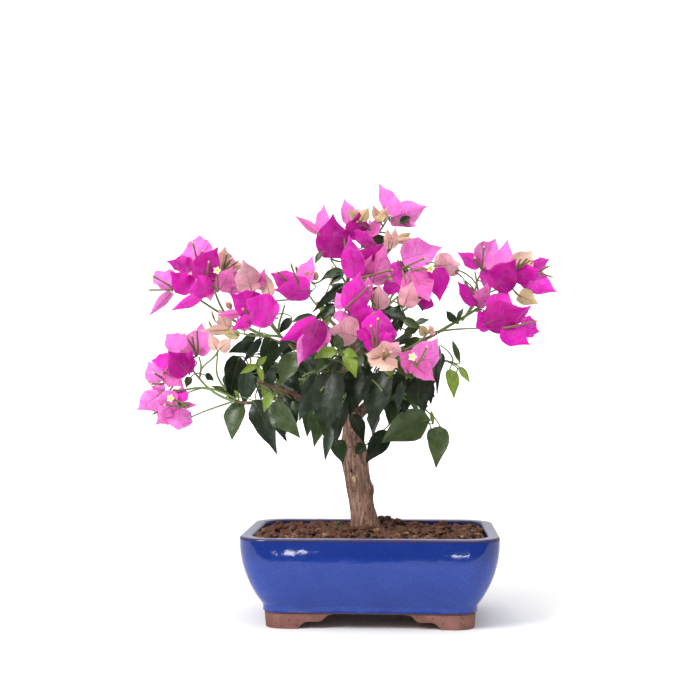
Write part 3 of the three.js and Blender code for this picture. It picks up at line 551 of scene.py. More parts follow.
class Finish:
    """A material: one Principled surface and the nodes that vary it."""

    def __init__(self, name, **constants):
        self.material = bpy.data.materials.new(name)
        self.material.use_nodes = True
        self.tree = self.material.node_tree
        self.surface = self.tree.nodes["Principled BSDF"]
        for key, value in constants.items():
            self.surface.inputs[key.replace("_", " ")].default_value = value

    def node(self, kind, settings, sockets, out=0):
        made = self.tree.nodes.new(kind)
        for key, value in settings.items():
            if key == "stops":
                ramp = made.color_ramp.elements
                while len(ramp) < len(value):
                    ramp.new(0.5)
                for stop, (position, colour) in zip(ramp, value):
                    stop.position = position
                    stop.color = colour
            else:
                setattr(made, key, value)
        for key, value in sockets.items():
            self.plug(made.inputs[key], value)
        return Signal(self, made.outputs[out])

    def plug(self, socket, value):
        if isinstance(value, Signal):
            self.tree.links.new(value.socket, socket)
        else:
            socket.default_value = value

    def feed(self, name, value):
        self.plug(self.surface.inputs[name], value)

    def place(self, stretch=(1, 1, 1)):
        """Object coordinates in metres, stretched along each axis."""
        spot = self.node("ShaderNodeTexCoord", {}, {}, out=3)
        return self.node("ShaderNodeMapping", {}, {"Vector": spot, "Scale": stretch})

    def noise(self, scale, detail=3, stretch=(1, 1, 1), roughness=0.5):
        sockets = {"Vector": self.place(stretch), "Scale": scale, "Detail": detail, "Roughness": roughness}
        return self.node("ShaderNodeTexNoise", {}, sockets)

    def height(self):
        return self.node("ShaderNodeSeparateXYZ", {}, {0: self.place()}, out=2)

    def step(self, value, start, end):
        """0 before start and 1 after end, with a smooth rise between."""
        sockets = {"Value": value, "From Min": start, "From Max": end}
        return self.node("ShaderNodeMapRange", {"interpolation_type": "SMOOTHSTEP"}, sockets)

    def blend(self, share, first, second):
        return self.node("ShaderNodeMix", {"data_type": "RGBA"}, {0: share, 6: first, 7: second}, out=2)

    def ramp(self, value, stops):
        return self.node("ShaderNodeValToRGB", {"stops": stops}, {0: value})

    def bump(self, height, strength, distance):
        sockets = {"Height": height, "Strength": strength, "Distance": distance}
        self.feed("Normal", self.node("ShaderNodeBump", {}, sockets))


def glaze_finish():
    """Cobalt glaze: cloudy and finely speckled, darker in a painted dark reflection below the rim, paler on
    the rim's top partly from thin glaze and partly from a painted sheen, broken to brown on the rim's edge,
    bare clay at its foot.
    """
    glaze = Finish("cobalt_glaze", Roughness=0.07, IOR=1.45)
    clouds = glaze.noise(45, 4)
    specks = glaze.noise(1500, 3, roughness=0.8)
    shade = clouds * 0.14 + specks * 0.86
    blue = glaze.ramp(shade, [(0.3, tint("0f2971")), (0.5, tint("17368f")), (0.68, tint("385bb6"))])
    level = glaze.height()
    ragged = level + glaze.noise(260, 2) * 0.0012
    # Painted dark reflection: the upper wall is darkened in a wavy band that stands in for the dark room
    # mirrored in the glaze.
    dark_band_level = level + clouds * 0.012
    shoulder = glaze.blend(glaze.step(dark_band_level, 0.062, 0.074) * 0.6, blue, tint("10256b"))
    # Pale rim top: partly thin glaze over pale clay, partly a painted sheen standing in for the white
    # surroundings reflected there.
    rim = glaze.blend(glaze.step(level, 0.0795, 0.07995) * 0.48, shoulder, tint("b9bac6"))
    edge = glaze.step(ragged, 0.0779, 0.0786) * (1 - glaze.step(ragged, 0.0797, 0.0803))
    worn = glaze.blend(edge * 0.85, rim, tint("3f2c35"))
    foot = 1 - glaze.step(ragged, 0.0147, 0.0152)
    glaze.feed("Base Color", glaze.blend(foot, worn, tint("5e3a30")))
    glaze.feed("Roughness", foot * 0.6 + specks * 0.06 + 0.06)
    waves = glaze.noise(34, 2) + glaze.noise(110, 2) * 0.25 + glaze.noise(500, 2) * 0.04
    glaze.bump(waves, 0.5, 0.0016)
    return glaze.material


def clay_finish():
    clay = Finish("bare_clay", Roughness=0.8)
    clouds = clay.noise(60, 4)
    grit = clay.noise(1500, 2)
    tone = clay.ramp(clouds * 0.6 + grit * 0.4,
                     [(0.3, tint("633d34")), (0.52, tint("86594f")), (0.7, tint("a17366"))])
    pits = clay.step(clay.noise(520, 1), 0.68, 0.74)
    clay.feed("Base Color", clay.blend(pits, tone, tint("3a221c")))
    clay.bump(grit * 0.5 - pits + clouds * 0.4, 0.6, 0.0005)
    return clay.material


def soil_finish(name, low, high):
    soil = Finish(name, Roughness=0.95)
    grain = soil.noise(700, 4, roughness=0.7)
    soil.feed("Base Color", soil.ramp(grain, [(0.34, tint(low)), (0.66, tint(high))]))
    soil.bump(grain, 0.8, 0.0009)
    return soil.material


def bark_finish(name, furrow, ridge, pale, scale):
    """Bark with lengthwise streaks, pale ridges and dark pores."""
    bark = Finish(name, Roughness=0.9)
    streaks = bark.noise(scale, 5, stretch=(1, 1, 0.16), roughness=0.65)
    clouds = bark.noise(70, 3)
    tone = bark.ramp(streaks * 0.7 + clouds * 0.3,
                     [(0.38, tint(furrow)), (0.5, tint(ridge)), (0.6, tint(pale))])
    pores = bark.step(bark.noise(330, 1), 0.69, 0.74)
    bark.feed("Base Color", bark.blend(pores * 0.8, tone, tint("4a372e")))
    bark.bump(streaks - pores * 0.4, 0.9, 0.0008)
    return bark.material


def blade_finish(name, colour, roughness, shine=0.5, vary=0.06, thin=0.0):
    """A leaf or bract of one colour, with a faint change of tone and gloss over it."""
    base = tint(colour)
    light = tuple(min(1.0, c * (1 + vary) + vary * 0.1) for c in base[:3]) + (1.0,)
    dark = tuple(c * (1 - vary) for c in base[:3]) + (1.0,)
    blade = Finish(name, Roughness=roughness, Specular_IOR_Level=shine, Subsurface_Weight=thin,
                   Subsurface_Radius=(1, 0.8, 0.95), Subsurface_Scale=0.003)
    tone = blade.noise(110, 4)
    blade.feed("Base Color", blade.blend(blade.step(tone, 0.35, 0.65), dark, light))
    blade.feed("Roughness", tone * 0.16 + (roughness - 0.08))
    blade.bump(blade.noise(210, 3), 0.4, 0.0012)
    return blade.material


# Meshes
def skin(rings):
    """A closed bmesh: the first ring of points is extruded through the others and both ends are filled."""
    form = bmesh.new()
    ring = [form.verts.new(p) for p in rings[0]]
    edges = [form.edges.new(pair) for pair in zip(ring, ring[1:] + ring[:1])]
    form.faces.new(ring[::-1])
    order = {vert: i for i, vert in enumerate(ring)}
    for points in rings[1:]:
        grown = bmesh.ops.extrude_edge_only(form, edges=edges)["geom"]
        fresh = {}
        for vert in (g for g in grown if isinstance(g, bmesh.types.BMVert)):
            below = next(e.other_vert(vert) for e in vert.link_edges if e.other_vert(vert) in order)
            fresh[vert] = order[below]
            vert.co = points[order[below]]
        edges = [g for g in grown if isinstance(g, bmesh.types.BMEdge) and g.verts[0] in fresh
                 and g.verts[1] in fresh]
        order = fresh
    form.faces.new(sorted(order, key=order.get))
    bmesh.ops.recalc_face_normals(form, faces=form.faces)
    return form


def add_piece(name, mesh, material, nodes):
    """A finished piece at the origin that rides with the plant and stands for its solids."""
    piece = bpy.data.objects.new(name, mesh)
    bpy.context.scene.collection.objects.link(piece)
    mesh.materials.append(material)
    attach(piece, "root")
    if nodes:
        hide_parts(*nodes)
    return piece


def mesh_of(name, form, sharp=40):
    mesh = bpy.data.meshes.new(name)
    form.to_mesh(mesh)
    form.free()
    mesh.shade_smooth()
    mesh.set_sharp_from_angle(angle=math.radians(sharp))
    return mesh


class Gathering:
    """Small closed shapes of one kind, joined into one mesh from arrays."""

    def __init__(self):
        self.points = []
        self.quads = []
        self.tris = []
        self.count = 0

    def loft(self, rings):
        """A closed skin over rings of points, drawn to a middle point at both ends."""
        rings = np.asarray(rings)
        rows, sides = rings.shape[:2]
        grid = self.count + np.arange(rows * sides).reshape(rows, sides)
        turned = np.roll(grid, -1, axis=1)
        self.quads.append(np.stack([grid[:-1], turned[:-1], turned[1:], grid[1:]], -1).reshape(-1, 4))
        root, tip = self.count + rows * sides, self.count + rows * sides + 1
        self.tris.append(np.stack([turned[0], grid[0], np.full(sides, root)], -1))
        self.tris.append(np.stack([grid[-1], turned[-1], np.full(sides, tip)], -1))
        self.points += [rings.reshape(-1, 3), rings[0].mean(0)[None], rings[-1].mean(0)[None]]
        self.count += rows * sides + 2

    def shape(self, points, quads):
        self.points.append(points)
        self.quads.append(np.asarray(quads) + self.count)
        self.count += len(points)

    def piece(self, name, material, slot, nodes=(), sharp=60):
        mesh = bpy.data.meshes.new(name)
        faces = [f for part in self.quads + self.tris for f in part.tolist()]
        mesh.from_pydata(to_row(np.concatenate(self.points)).tolist(), [], faces)
        mesh.shade_smooth()
        mesh.set_sharp_from_angle(angle=math.radians(sharp))
        return add_piece(name, mesh, material, nodes)


# Pot
def wall_inset(z):
    below = max(0, BULGE_TOP - max(z, BAND_TOP))
    return BULGE_RADIUS - math.sqrt(BULGE_RADIUS ** 2 - below ** 2)


def pot_ring(inset, z):
    """The pot's plan at one level: a rounded rectangle drawn in by inset."""
    corner = RIM_CORNER - inset * 0.5
    x = RIM_WIDTH / 2 - inset - corner
    y = RIM_DEPTH / 2 - inset - corner
    ring = []
    for quarter, (cx, cy) in enumerate([(x, y), (-x, y), (-x, -y), (x, -y)]):
        for k in range(CORNER_STEPS + 1):
            angle = (quarter + k / CORNER_STEPS) * math.pi / 2
            ring.append((cx + corner * math.cos(angle), cy + corner * math.sin(angle), z))
    return ring


def pot_profile():
    """Inset and height of each level, from the underside over the rim to the inner floor."""
    band = WALL_INSET + BAND_DRAW
    levels = [(band + 0.7, FOOT_HEIGHT), (band, FOOT_HEIGHT + 0.7), (band, FOOT_HEIGHT + 1.2)]
    levels += [(band - 0.5, FOOT_HEIGHT + 1.5), (band - 0.3, BAND_TOP - 2.4), (band - 0.5, BAND_TOP - 1)]
    for k in range(WALL_STEPS + 1):
        z = mix(BAND_TOP, BULGE_TOP, k / WALL_STEPS)
        levels.append((wall_inset(z), z))
    for k in range(RIM_STEPS + 1):
        turn = k / RIM_STEPS * math.pi / 2
        levels.append((RIM_ROUND * (1 - math.cos(turn)), POT_HEIGHT - RIM_ROUND * (1 - math.sin(turn))))
    for k in range(RIM_STEPS + 1):
        turn = k / RIM_STEPS * math.pi / 2
        inset = RIM_LIP - RIM_ROUND * (1 - math.sin(turn))
        levels.append((inset, POT_HEIGHT - RIM_ROUND * (1 - math.cos(turn))))
    levels += [(wall_inset(z) + RIM_LIP, z) for z in (70, 60, 45, 30, POT_FLOOR)]
    return levels


def make_pot():
    rings = [to_row(pot_ring(inset, z)) for inset, z in pot_profile()]
    add_piece("pot_glaze", mesh_of("pot_glaze", skin(rings), 30), glaze_finish(), ["pot_body"])


def foot_height(run, length):
    """Height of a foot's lower edge at a run from the corner: sole, step, and the curve up to the pot."""
    step = FOOT_STEP * smooth((run - FOOT_SOLE) / FOOT_CURVE)
    rise = (FOOT_HEIGHT - FOOT_STEP) * smooth((run - length + FOOT_CURVE) / FOOT_CURVE)
    return step + rise


def smooth(share):
    share = min(1, max(0, share))
    return share * share * (3 - 2 * share)


def foot_path(side_x, side_y):
    """Places round one corner of the pot's plan, with the outward way and the foot's lower edge there."""
    inset = WALL_INSET + FOOT_DRAW
    corner = RIM_CORNER - inset * 0.5
    x = RIM_WIDTH / 2 - inset - corner
    y = RIM_DEPTH / 2 - inset - corner
    arc = corner * math.pi / 4
    path = []
    for run in np.linspace(-FOOT_SIDE_LENGTH, FOOT_LENGTH, FOOT_SECTIONS):
        length = FOOT_LENGTH if run > 0 else FOOT_SIDE_LENGTH
        turn = min(1, max(-1, run / arc)) * math.pi / 4 + math.pi / 4
        beyond = max(0, abs(run) - arc)
        out = np.array([math.cos(turn), math.sin(turn), 0.0])
        place = np.array([x, y, 0.0]) + out * corner
        place -= beyond * (np.array([1.0, 0, 0]) if run > 0 else np.array([0, 1.0, 0]))
        flip = np.array([side_x, side_y, 1.0])
        path.append((place * flip, out * flip, foot_height(abs(run), length)))
    return path


def make_foot(name, side_x, side_y, material):
    """A cloud-shaped bracket swept round a corner of the pot, its edges rounded."""
    top = FOOT_HEIGHT - FIT
    rings = []
    for place, out, low in foot_path(side_x, side_y):
        low = min(low, top - 0.8)
        inner = place - out * FOOT_THICKNESS
        ring = [place - out * 1.2, inner, inner, place]
        ring = [p * np.array([1, 1, 0]) + UP * z for p, z in zip(ring, (low, low, top, top))]
        rings.append(to_row(ring))
    form = skin(rings)
    long_edges = [e for e in form.edges if e.is_manifold and e.calc_face_angle(0) > 0.6]
    bmesh.ops.bevel(form, geom=long_edges, offset=FOOT_EDGE * MM, affect="EDGES", segments=3,
                    profile=0.5, material=-1, clamp_overlap=True)
    add_piece(name.replace("pot_", "clay_"), mesh_of(name, form), material, [name])


def make_feet():
    material = clay_finish()
    for side_y, row in ((-1, "front"), (1, "back")):
        for side_x, side in ((-1, "left"), (1, "right")):
            make_foot(f"pot_foot_{row}_{side}", side_x, side_y, material)


# Soil
def soil_height(x, y, share):
    off = (x - HEAP_PLACE[0]) ** 2 + (y - HEAP_PLACE[1]) ** 2
    heap = HEAP_HEIGHT * math.exp(-off / (2 * HEAP_SPREAD ** 2)) * min(1, share * 4)
    lumps = math.sin(x * 0.31 + 1.7) * math.cos(y * 0.37) + math.sin(x * 0.13 - y * 0.21)
    back = BACK_DROP * max(0, y / RIM_DEPTH * 2) ** 2
    return SOIL_TOP - SOIL_DROP * share ** 2 - back + heap + SOIL_LUMP * lumps * share


def make_soil_bed():
    rim = np.array(pot_ring(wall_inset(70) + RIM_LIP + 0.2, 0))
    foot = np.array([TRUNK_FOOT[0], TRUNK_FOOT[1], 0])
    rings = [rim + UP * 60, rim + UP * 72]
    for share in (1, 0.93, 0.84, 0.74, 0.63, 0.52, 0.41, 0.3, 0.2, 0.1):
        ring = foot + (rim - foot) * share
        rings.append(np.array([
            (x, y, soil_height(x, y, share) - 1.6 + 1.8 * noise.noise(Vector((x, y, 0)) * 0.21))
            for x, y, _ in ring
        ]))
    rings = [to_row(r) for r in rings]
    material = soil_finish("soil_bed", "2a1a14", "4a3026")
    add_piece("soil_bed", mesh_of("soil_bed", skin(rings)), material, ["soil"])


def clod_shape():
    """A rounded cube of a few dozen faces, about one across."""
    form = bmesh.new()
    bmesh.ops.create_cube(form, size=1)
    bmesh.ops.subdivide_edges(form, edges=form.edges, cuts=2, use_grid_fill=True)
    for vert in form.verts:
        vert.co = vert.co.lerp(vert.co.normalized() * 0.5, 0.8)
    form.verts.index_update()
    points = np.array([v.co for v in form.verts])
    quads = np.array([[v.index for v in f.verts] for f in form.faces])
    form.free()
    return points, quads


CLOD = clod_shape()


def scatter_clod(heap, draw, place, size, flat=1.0):
    """One crumb: the rounded cube knocked out of shape, turned and set down."""
    points, quads = CLOD
    seed = Vector((draw() * 90, draw() * 90, draw() * 90))
    knock = np.array([1 + 0.8 * noise.noise(Vector(p) * 2.6 + seed) for p in points])
    stretch = np.array([mix(0.8, 1.35, draw()), mix(0.8, 1.25, draw()), flat])
    turn = Matrix.Rotation(draw() * FULL_TURN, 3, "Z") @ Matrix.Rotation(mix(-0.6, 0.6, draw()), 3, "X")
    shaped = (points * knock[:, None] * stretch * size) @ np.array(turn).T
    heap.shape(shaped + np.asarray(place), quads)


def soil_spot(draw, edge):
    """A random place on the soil, inside the pot and off the trunk."""
    while True:
        x = mix(-1, 1, draw()) * (RIM_WIDTH / 2 - RIM_LIP - edge)
        y = mix(-1, 1, draw()) * (RIM_DEPTH / 2 - RIM_LIP - edge)
        corner = RIM_CORNER - RIM_LIP * 0.5
        over_x = max(0, abs(x) - (RIM_WIDTH / 2 - RIM_LIP - corner))
        over_y = max(0, abs(y) - (RIM_DEPTH / 2 - RIM_LIP - corner))
        from_trunk = math.hypot(x - TRUNK_FOOT[0], y - TRUNK_FOOT[1])
        if math.hypot(over_x, over_y) < corner - edge and from_trunk > TRUNK_RADIUS + 4:
            share = min(1, math.hypot(x / 101, y / 69))
            return np.array([x, y, soil_height(x, y, share)])


def make_soil_crumbs():
    """Clods, crumbs, bark bits and white grains over the soil, each colour apart."""
    draw = seeded(5)
    # Dark and light colour, count, range of sizes, height against width
    kinds = {
        "clods_brown": ("442a20", "7d5643", 900, (2.2, 9.5), 0.8),
        "clods_red": ("4a251a", "86472f", 520, (2, 6), 0.8),
        "crumbs_dark": ("160e0b", "33221b", 800, (1.8, 5), 0.8),
        "crumbs_tan": ("6f4f3a", "b08a63", 360, (1.6, 6), 0.75),
        "bark_bits": ("331f17", "6a432f", 150, (3.5, 8), 0.35),
        "white_grains": ("b9b2a8", "efece6", 26, (1.3, 2.4), 0.8),
    }
    for name, (low, high, count, sizes, flat) in kinds.items():
        heap = Gathering()
        for _ in range(count):
            size = mix(*sizes, draw() ** 2.2)
            spot = soil_spot(draw, size * 0.55 + 0.4)
            top = 0.35 if name == "white_grains" else mix(-0.25, 0.42, draw())
            scatter_clod(heap, draw, spot + UP * size * flat * top, size, flat)
        if name == "crumbs_dark":
            for _ in range(HEAP_CRUMBS):
                off = np.array([mix(-1, 1, draw()), mix(-1, 1, draw())]) * HEAP_SPREAD * 1.3
                x, y = HEAP_PLACE + off
                if math.hypot(x - TRUNK_FOOT[0], y - TRUNK_FOOT[1]) > TRUNK_RADIUS + 2.5:
                    scatter_clod(heap, draw, (x, y, soil_height(x, y, 0.3) + mix(-1, 1.5, draw())),
                                 mix(1.6, 4, draw()), 0.85)
        heap.piece("soil_" + name, soil_finish("soil_" + name, low, high), "soil", sharp=25)


def make_sprout():
    """A tuft of seedlings on the soil."""
    draw = seeded(12)
    tuft = Gathering()
    for i in range(SEEDLINGS):
        off = np.array([mix(-4, 4, draw()), mix(-3, 3, draw()), 0])
        start = np.array([*SPROUT_PLACE, SOIL_TOP + 2]) + off
        turn = i * GOLDEN_ANGLE
        heading = unit(np.array([math.cos(turn), math.sin(turn), mix(0.5, 1.4, draw())]))
        blade = grow_blade(dict(LEAF, width=0.45, petiole=0.3), start, heading, DOWN, 0.9,
                           unit(np.cross(heading, UP)), mix(4.5, 8, draw()))
        blade["wave"] = (0.05, turn)
        tuft.loft(blade_rings(blade, LEAF_STEPS))
    tuft.piece("soil_sprout", blade_finish("soil_sprout", "4f7a32", 0.5), "leaf")


# Trunk
class Curve:
    """A cubic curve by its four control points."""

    def __init__(self, *controls):
        self.controls = np.array(controls, float)

    def point(self, t):
        s = 1 - t
        return np.array([s ** 3, 3 * s * s * t, 3 * s * t * t, t ** 3]) @ self.controls

    def tangent(self, t):
        return unit(self.point(min(1, t + 1e-4)) - self.point(max(0, t - 1e-4)))


def bend(start, out, end, heading):
    """A curve that leaves start along out and arrives at end along heading."""
    span = np.linalg.norm(end - start)
    return Curve(start, start + out * span * LIMB_LEAVE, end - heading * span * LIMB_ARRIVE, end)


trunk_curve = Curve(TRUNK_FOOT, TRUNK_BEND, TRUNK_SHOULDER, TRUNK_FORK)


def trunk_radius(t, angle):
    lobes = 1 + 0.45 * math.cos(ROOT_LOBES * angle)
    flare = ROOT_FLARE * max(0, 1 - t / 0.16) ** 2 * lobes
    shoulder = 1.1 * math.exp(-((t - 0.55) / 0.13) ** 2)
    draw = 0 if t < 0.66 else ((t - 0.66) / 0.34) ** 0.8
    knob = KNOB_SIZE * math.exp(-((t - KNOB_HEIGHT) / 0.06) ** 2) * max(0, math.cos(angle)) ** 3
    return mix(TRUNK_RADIUS + shoulder, FORK_RADIUS, draw) + flare + knob


def bark_relief(angle, z, girth):
    """Height of the bark over the limb's round: long ridges and furrows that wander as they rise."""
    around_x, around_y = math.cos(angle) * girth, math.sin(angle) * girth
    ridges = 1 - 2 * abs(noise.noise(Vector((around_x * 0.46, around_y * 0.46, z * 0.055))))
    fine = noise.noise(Vector((around_x * 1.3, around_y * 1.3, z * 0.16 + 40)))
    swell = noise.noise(Vector((around_x * 0.12, around_y * 0.12, z * 0.07 + 9)))
    return 0.42 * ridges + 0.28 * fine + 0.7 * swell


def trunk_skin_point(t, angle, extra=0.0):
    centre = trunk_curve.point(t)
    girth = trunk_radius(t, angle)
    girth += bark_relief(angle, centre[2], TRUNK_RADIUS) * min(1, girth / 9) + extra
    return centre + np.array([girth * math.cos(angle), girth * math.sin(angle), 0])


def trunk_share(z):
    """The share of the trunk's curve at height z."""
    low, high = 0.0, 1.0
    for _ in range(24):
        middle = (low + high) / 2
        low, high = (middle, high) if trunk_curve.point(middle)[2] < z else (low, middle)
    return low


def make_trunk():
    rings = []
    for r in range(TRUNK_ROWS + 1):
        rings.append(to_row([trunk_skin_point(r / TRUNK_ROWS, 2 * math.pi * i / TRUNK_SIDES)
                             for i in range(TRUNK_SIDES)]))
    material = bark_finish("trunk_bark", "634a3d", "8f6d5d", "b8957f", 520)
    add_piece("trunk_bark", mesh_of("trunk_bark", skin(rings), 80), material, ["trunk"])


def trunk_patch(height, angle, rings):
    """Rings of radius and lift, as an oval patch on the trunk's bark."""
    t = trunk_share(height)
    centre = trunk_skin_point(t, angle)
    out = np.array([math.cos(angle), math.sin(angle), 0])
    side = np.cross(UP, out)
    way = unit(trunk_curve.tangent(t))
    turns = np.linspace(0, 2 * math.pi, 18, endpoint=False)
    return [np.array([centre + out * lift + (side * math.cos(a) * wide + way * math.sin(a) * tall)
                      for a in turns]) for wide, tall, lift in rings]


def make_scars():
    """A cream pruning scar in its ring of callus, and above it a small hole shown as a flat dark disc,
    painted shade for its depth.
    """
    heart, callus, hole = Gathering(), Gathering(), Gathering()
    scar, pit = (SCAR_HEIGHT, SCAR_ANGLE), (HOLE_HEIGHT, HOLE_ANGLE)
    heart.loft(trunk_patch(*scar, [(2.1, 2.7, -1.5), (2.1, 2.7, 0.35), (1.2, 1.7, 0.75), (0.3, 0.4, 0.6)]))
    callus.loft(trunk_patch(*scar, [(3.7, 4.6, -1.5), (3.4, 4.2, 0.2), (2.8, 3.5, 0.9), (2.0, 2.6, 0.5),
                                    (1.6, 2.1, -1)]))
    callus.loft(trunk_patch(*pit, [(2.0, 3.2, -1.5), (1.8, 3.0, 0.2), (1.3, 2.4, 0.7), (0.9, 1.9, 0.3),
                                   (0.6, 1.4, -1)]))
    # Painted shade: the hole is not cut in; a flat dark disc fills the callus ring where its shaded depth
    # would be.
    hole.loft(trunk_patch(*pit, [(0.9, 1.9, -1), (0.9, 1.9, 0.36), (0.3, 0.7, 0.3)]))
    draw = seeded(31)
    pores = Gathering()
    for _ in range(PORES):
        t, angle = mix(0.03, 0.8, draw()), draw() * 2 * math.pi
        size = mix(0.35, 0.75, draw())
        rings = [(size, size * 1.3, -0.5), (size, size * 1.3, 0.15), (size * 0.4, size * 0.5, 0.3)]
        pores.loft(trunk_patch(trunk_curve.point(t)[2], angle, rings))
    heart.piece("scar_heart", soil_finish("scar_wood", "b08a5c", "e0c298"), "bark")
    callus.piece("scar_callus", bark_finish("scar_callus", "6d5346", "96796a", "b89c8a", 700), "bark")
    hole.piece("scar_hole_painted_shade", soil_finish("scar_hole_shade", "1c120d", "3a261c"), "bark")
    pores.piece("bark_pores", soil_finish("bark_pores", "3b2a22", "5f4a3d"), "bark")


# Growth of limbs and masses, by the same rule and the same seeds as the solids
def grow_bough(mass, limbs):
    """A bough from its parent's middle to the mass."""
    parent = limbs[mass["on"]]["curve"]
    end = np.array(mass["tip"], float)
    start = parent.point(mass["at"])
    tangent = parent.tangent(mass["at"])
    way = unit(end - start)
    onward = unit(np.array(mass["shoots"][0], float) - end)
    out = unit(way + tangent * (2 if mass["at"] == 1 else 0.35))
    heading = unit(way + onward * 0.8)
    low, high = mass["girth"]
    limbs[mass["name"]] = dict(curve=bend(start, out, end, heading), girth=lambda t: mix(low, high, t))
    return heading


def grow_shoots(mass, bough, heading):
    """The first shoot carries on from the bough's tip, the others branch from the first."""
    flowering = "flowers" in mass
    shoots = []
    for i, reach in enumerate(mass["shoots"]):
        share = mix(0.2, 0.55, i / len(mass["shoots"]))
        start = shoots[0].point(share) if shoots else bough.point(1) + heading * FIT
        end = np.array(reach, float)
        way = unit(end - start)
        if flowering:
            end = end - way * FLOWER_REACH
        out = unit(way + shoots[0].tangent(share) * 0.6) if shoots else heading
        shoots.append(bend(start, out, end, unit(way + UP * (0.2 if flowering else -0.5))))
    return shoots


def beads(curve, girth, count):
    """Spaced points along a curve with its radius there: X, Y, Z, radius."""
    shares = [i / count for i in range(count + 1)]
    return np.array([[*curve.point(t), girth(t)] for t in shares])


def skin_distance(spots, chain):
    """The least distance from each spot to a chain of beads, measured to their skins."""
    gaps = np.linalg.norm(spots[:, None] - chain[None, :, :3], axis=2)
    return (gaps - chain[:, 3]).min(axis=1)


limbs = {"trunk": dict(curve=trunk_curve, girth=lambda t: trunk_radius(t, 0))}
for mass in MASSES:
    heading = grow_bough(mass, limbs)
    mass["curves"] = grow_shoots(mass, limbs[mass["name"]]["curve"], heading)
    mass["thick"] = [SHOOT_RADIUS * 1.2 if i else mass["girth"][1] for i in range(len(mass["curves"]))]
    mass["beads"] = np.concatenate([
        beads(curve, lambda t, thick=thick: mix(thick, SHOOT_RADIUS, t), 10)
        for curve, thick in zip(mass["curves"], mass["thick"])
    ])
limb_beads = np.concatenate([beads(limb["curve"], limb["girth"], 16) for limb in limbs.values()])
for mass in MASSES:
    mass["others"] = np.concatenate([other["beads"] for other in MASSES if other is not mass])


def half_width(form, length, s):
    """Half the blade's width at share s of its length."""
    root = BLADE_ROOT * 0.8
    u = (s - form["petiole"]) / (1 - form["petiole"])
    if u <= 0:
        return root
    peak = form["rise"] / (form["rise"] + form["taper"])
    most = peak ** form["rise"] * (1 - peak) ** form["taper"]
    blade = 0.5 * form["width"] * length * u ** form["rise"] * max(0, 1 - u) ** form["taper"] / most
    blade *= 1 - form.get("drip", 0) * smooth((u - 0.45) / 0.55)
    return max(root * (1 - u), blade)


def grow_blade(form, start, heading, pull, strength, across, length):
    """A blade along a midrib that leaves start along heading and is drawn round towards pull."""
    way, place = heading, start
    places, ways = [place], [way]
    for _ in range(MIDRIB_STEPS):
        way = unit(way + pull * (strength / MIDRIB_STEPS))
        place = place + way * (length / MIDRIB_STEPS)
        places.append(place)
        ways.append(way)
    return dict(form=form, places=np.array(places), ways=np.array(ways), across=across, length=length)


def blade_spots(blade):
    """Points spread over a blade."""
    form, steps = blade["form"], np.arange(2, MIDRIB_STEPS)
    ways, places = blade["ways"][steps], blade["places"][steps]
    across = unit_rows(blade["across"] - ways * (ways @ blade["across"])[:, None])
    face = np.cross(across, ways)
    wide = np.array([half_width(form, blade["length"], k / MIDRIB_STEPS) for k in steps])[:, None]
    crown = places + face * (max(BLADE_ROOT * 0.6, form["thick"] * blade["length"]) / 2)
    left = places - across * wide + face * form["fold"] * wide
    right = places + across * wide + face * form["fold"] * wide
    return np.concatenate([blade["places"][-1:], left, (left + crown) / 2, crown, (right + crown) / 2, right])


def fits(mass, blades, margin):
    """True if all the blades keep to the mass's space and clear of the blades already there."""
    spots = np.concatenate([blade_spots(blade) for blade in blades])
    if spots[:, 2].min() < LOWEST_LEAF:
        return False
    taken, low, high = mass["spots"], spots.min(axis=0) - margin, spots.max(axis=0) + margin
    near = taken[((taken >= low) & (taken <= high)).all(axis=1)]
    if len(near) and np.linalg.norm(near[:, None] - spots[None], axis=2).min() <= margin:
        return False
    if skin_distance(spots, limb_beads).min() < LIMB_MARGIN:
        return False
    own = skin_distance(spots, mass["beads"]) + SPACE_MARGIN
    if (skin_distance(spots, mass["others"]) <= own).any():
        return False
    mass["spots"] = np.concatenate([mass["spots"], spots])
    return True


def shoot_frame(way):
    across = np.cross(UP, way)
    if np.linalg.norm(across) < 0.2:
        across = np.array([1.0, 0.0, 0.0])
    across = unit(across)
    return across, unit(np.cross(way, across))


def around(ring, angle):
    return ring[0] * math.cos(angle) + ring[1] * math.sin(angle)


def grow_leaf(mass, shoot, t, turn, size, draw, lengths=LEAF["length"], tries=TRIES, margin=BLADE_MARGIN):
    """A hanging leaf at a place on a shoot, turned and shortened until it fits, or nothing."""
    place, way = shoot.point(t), shoot.tangent(t)
    ring = shoot_frame(way)
    full = mix(*lengths, size * mix(0.7, 1, draw()))
    droop = mix(1.2, 2.6, draw())
    roll = mix(-0.5, 0.5, draw())
    for attempt in range(tries):
        length = full * (1 - 0.012 * attempt)
        heading = unit(around(ring, turn + attempt * GOLDEN_ANGLE) + way * 0.5 + UP * 0.15)
        across = unit(np.cross(heading, UP))
        across = across * math.cos(roll) + np.cross(heading, across) * math.sin(roll)
        leaf = grow_blade(LEAF, place, heading, DOWN, droop, across, length)
        if fits(mass, [leaf], margin):
            return leaf
    return None


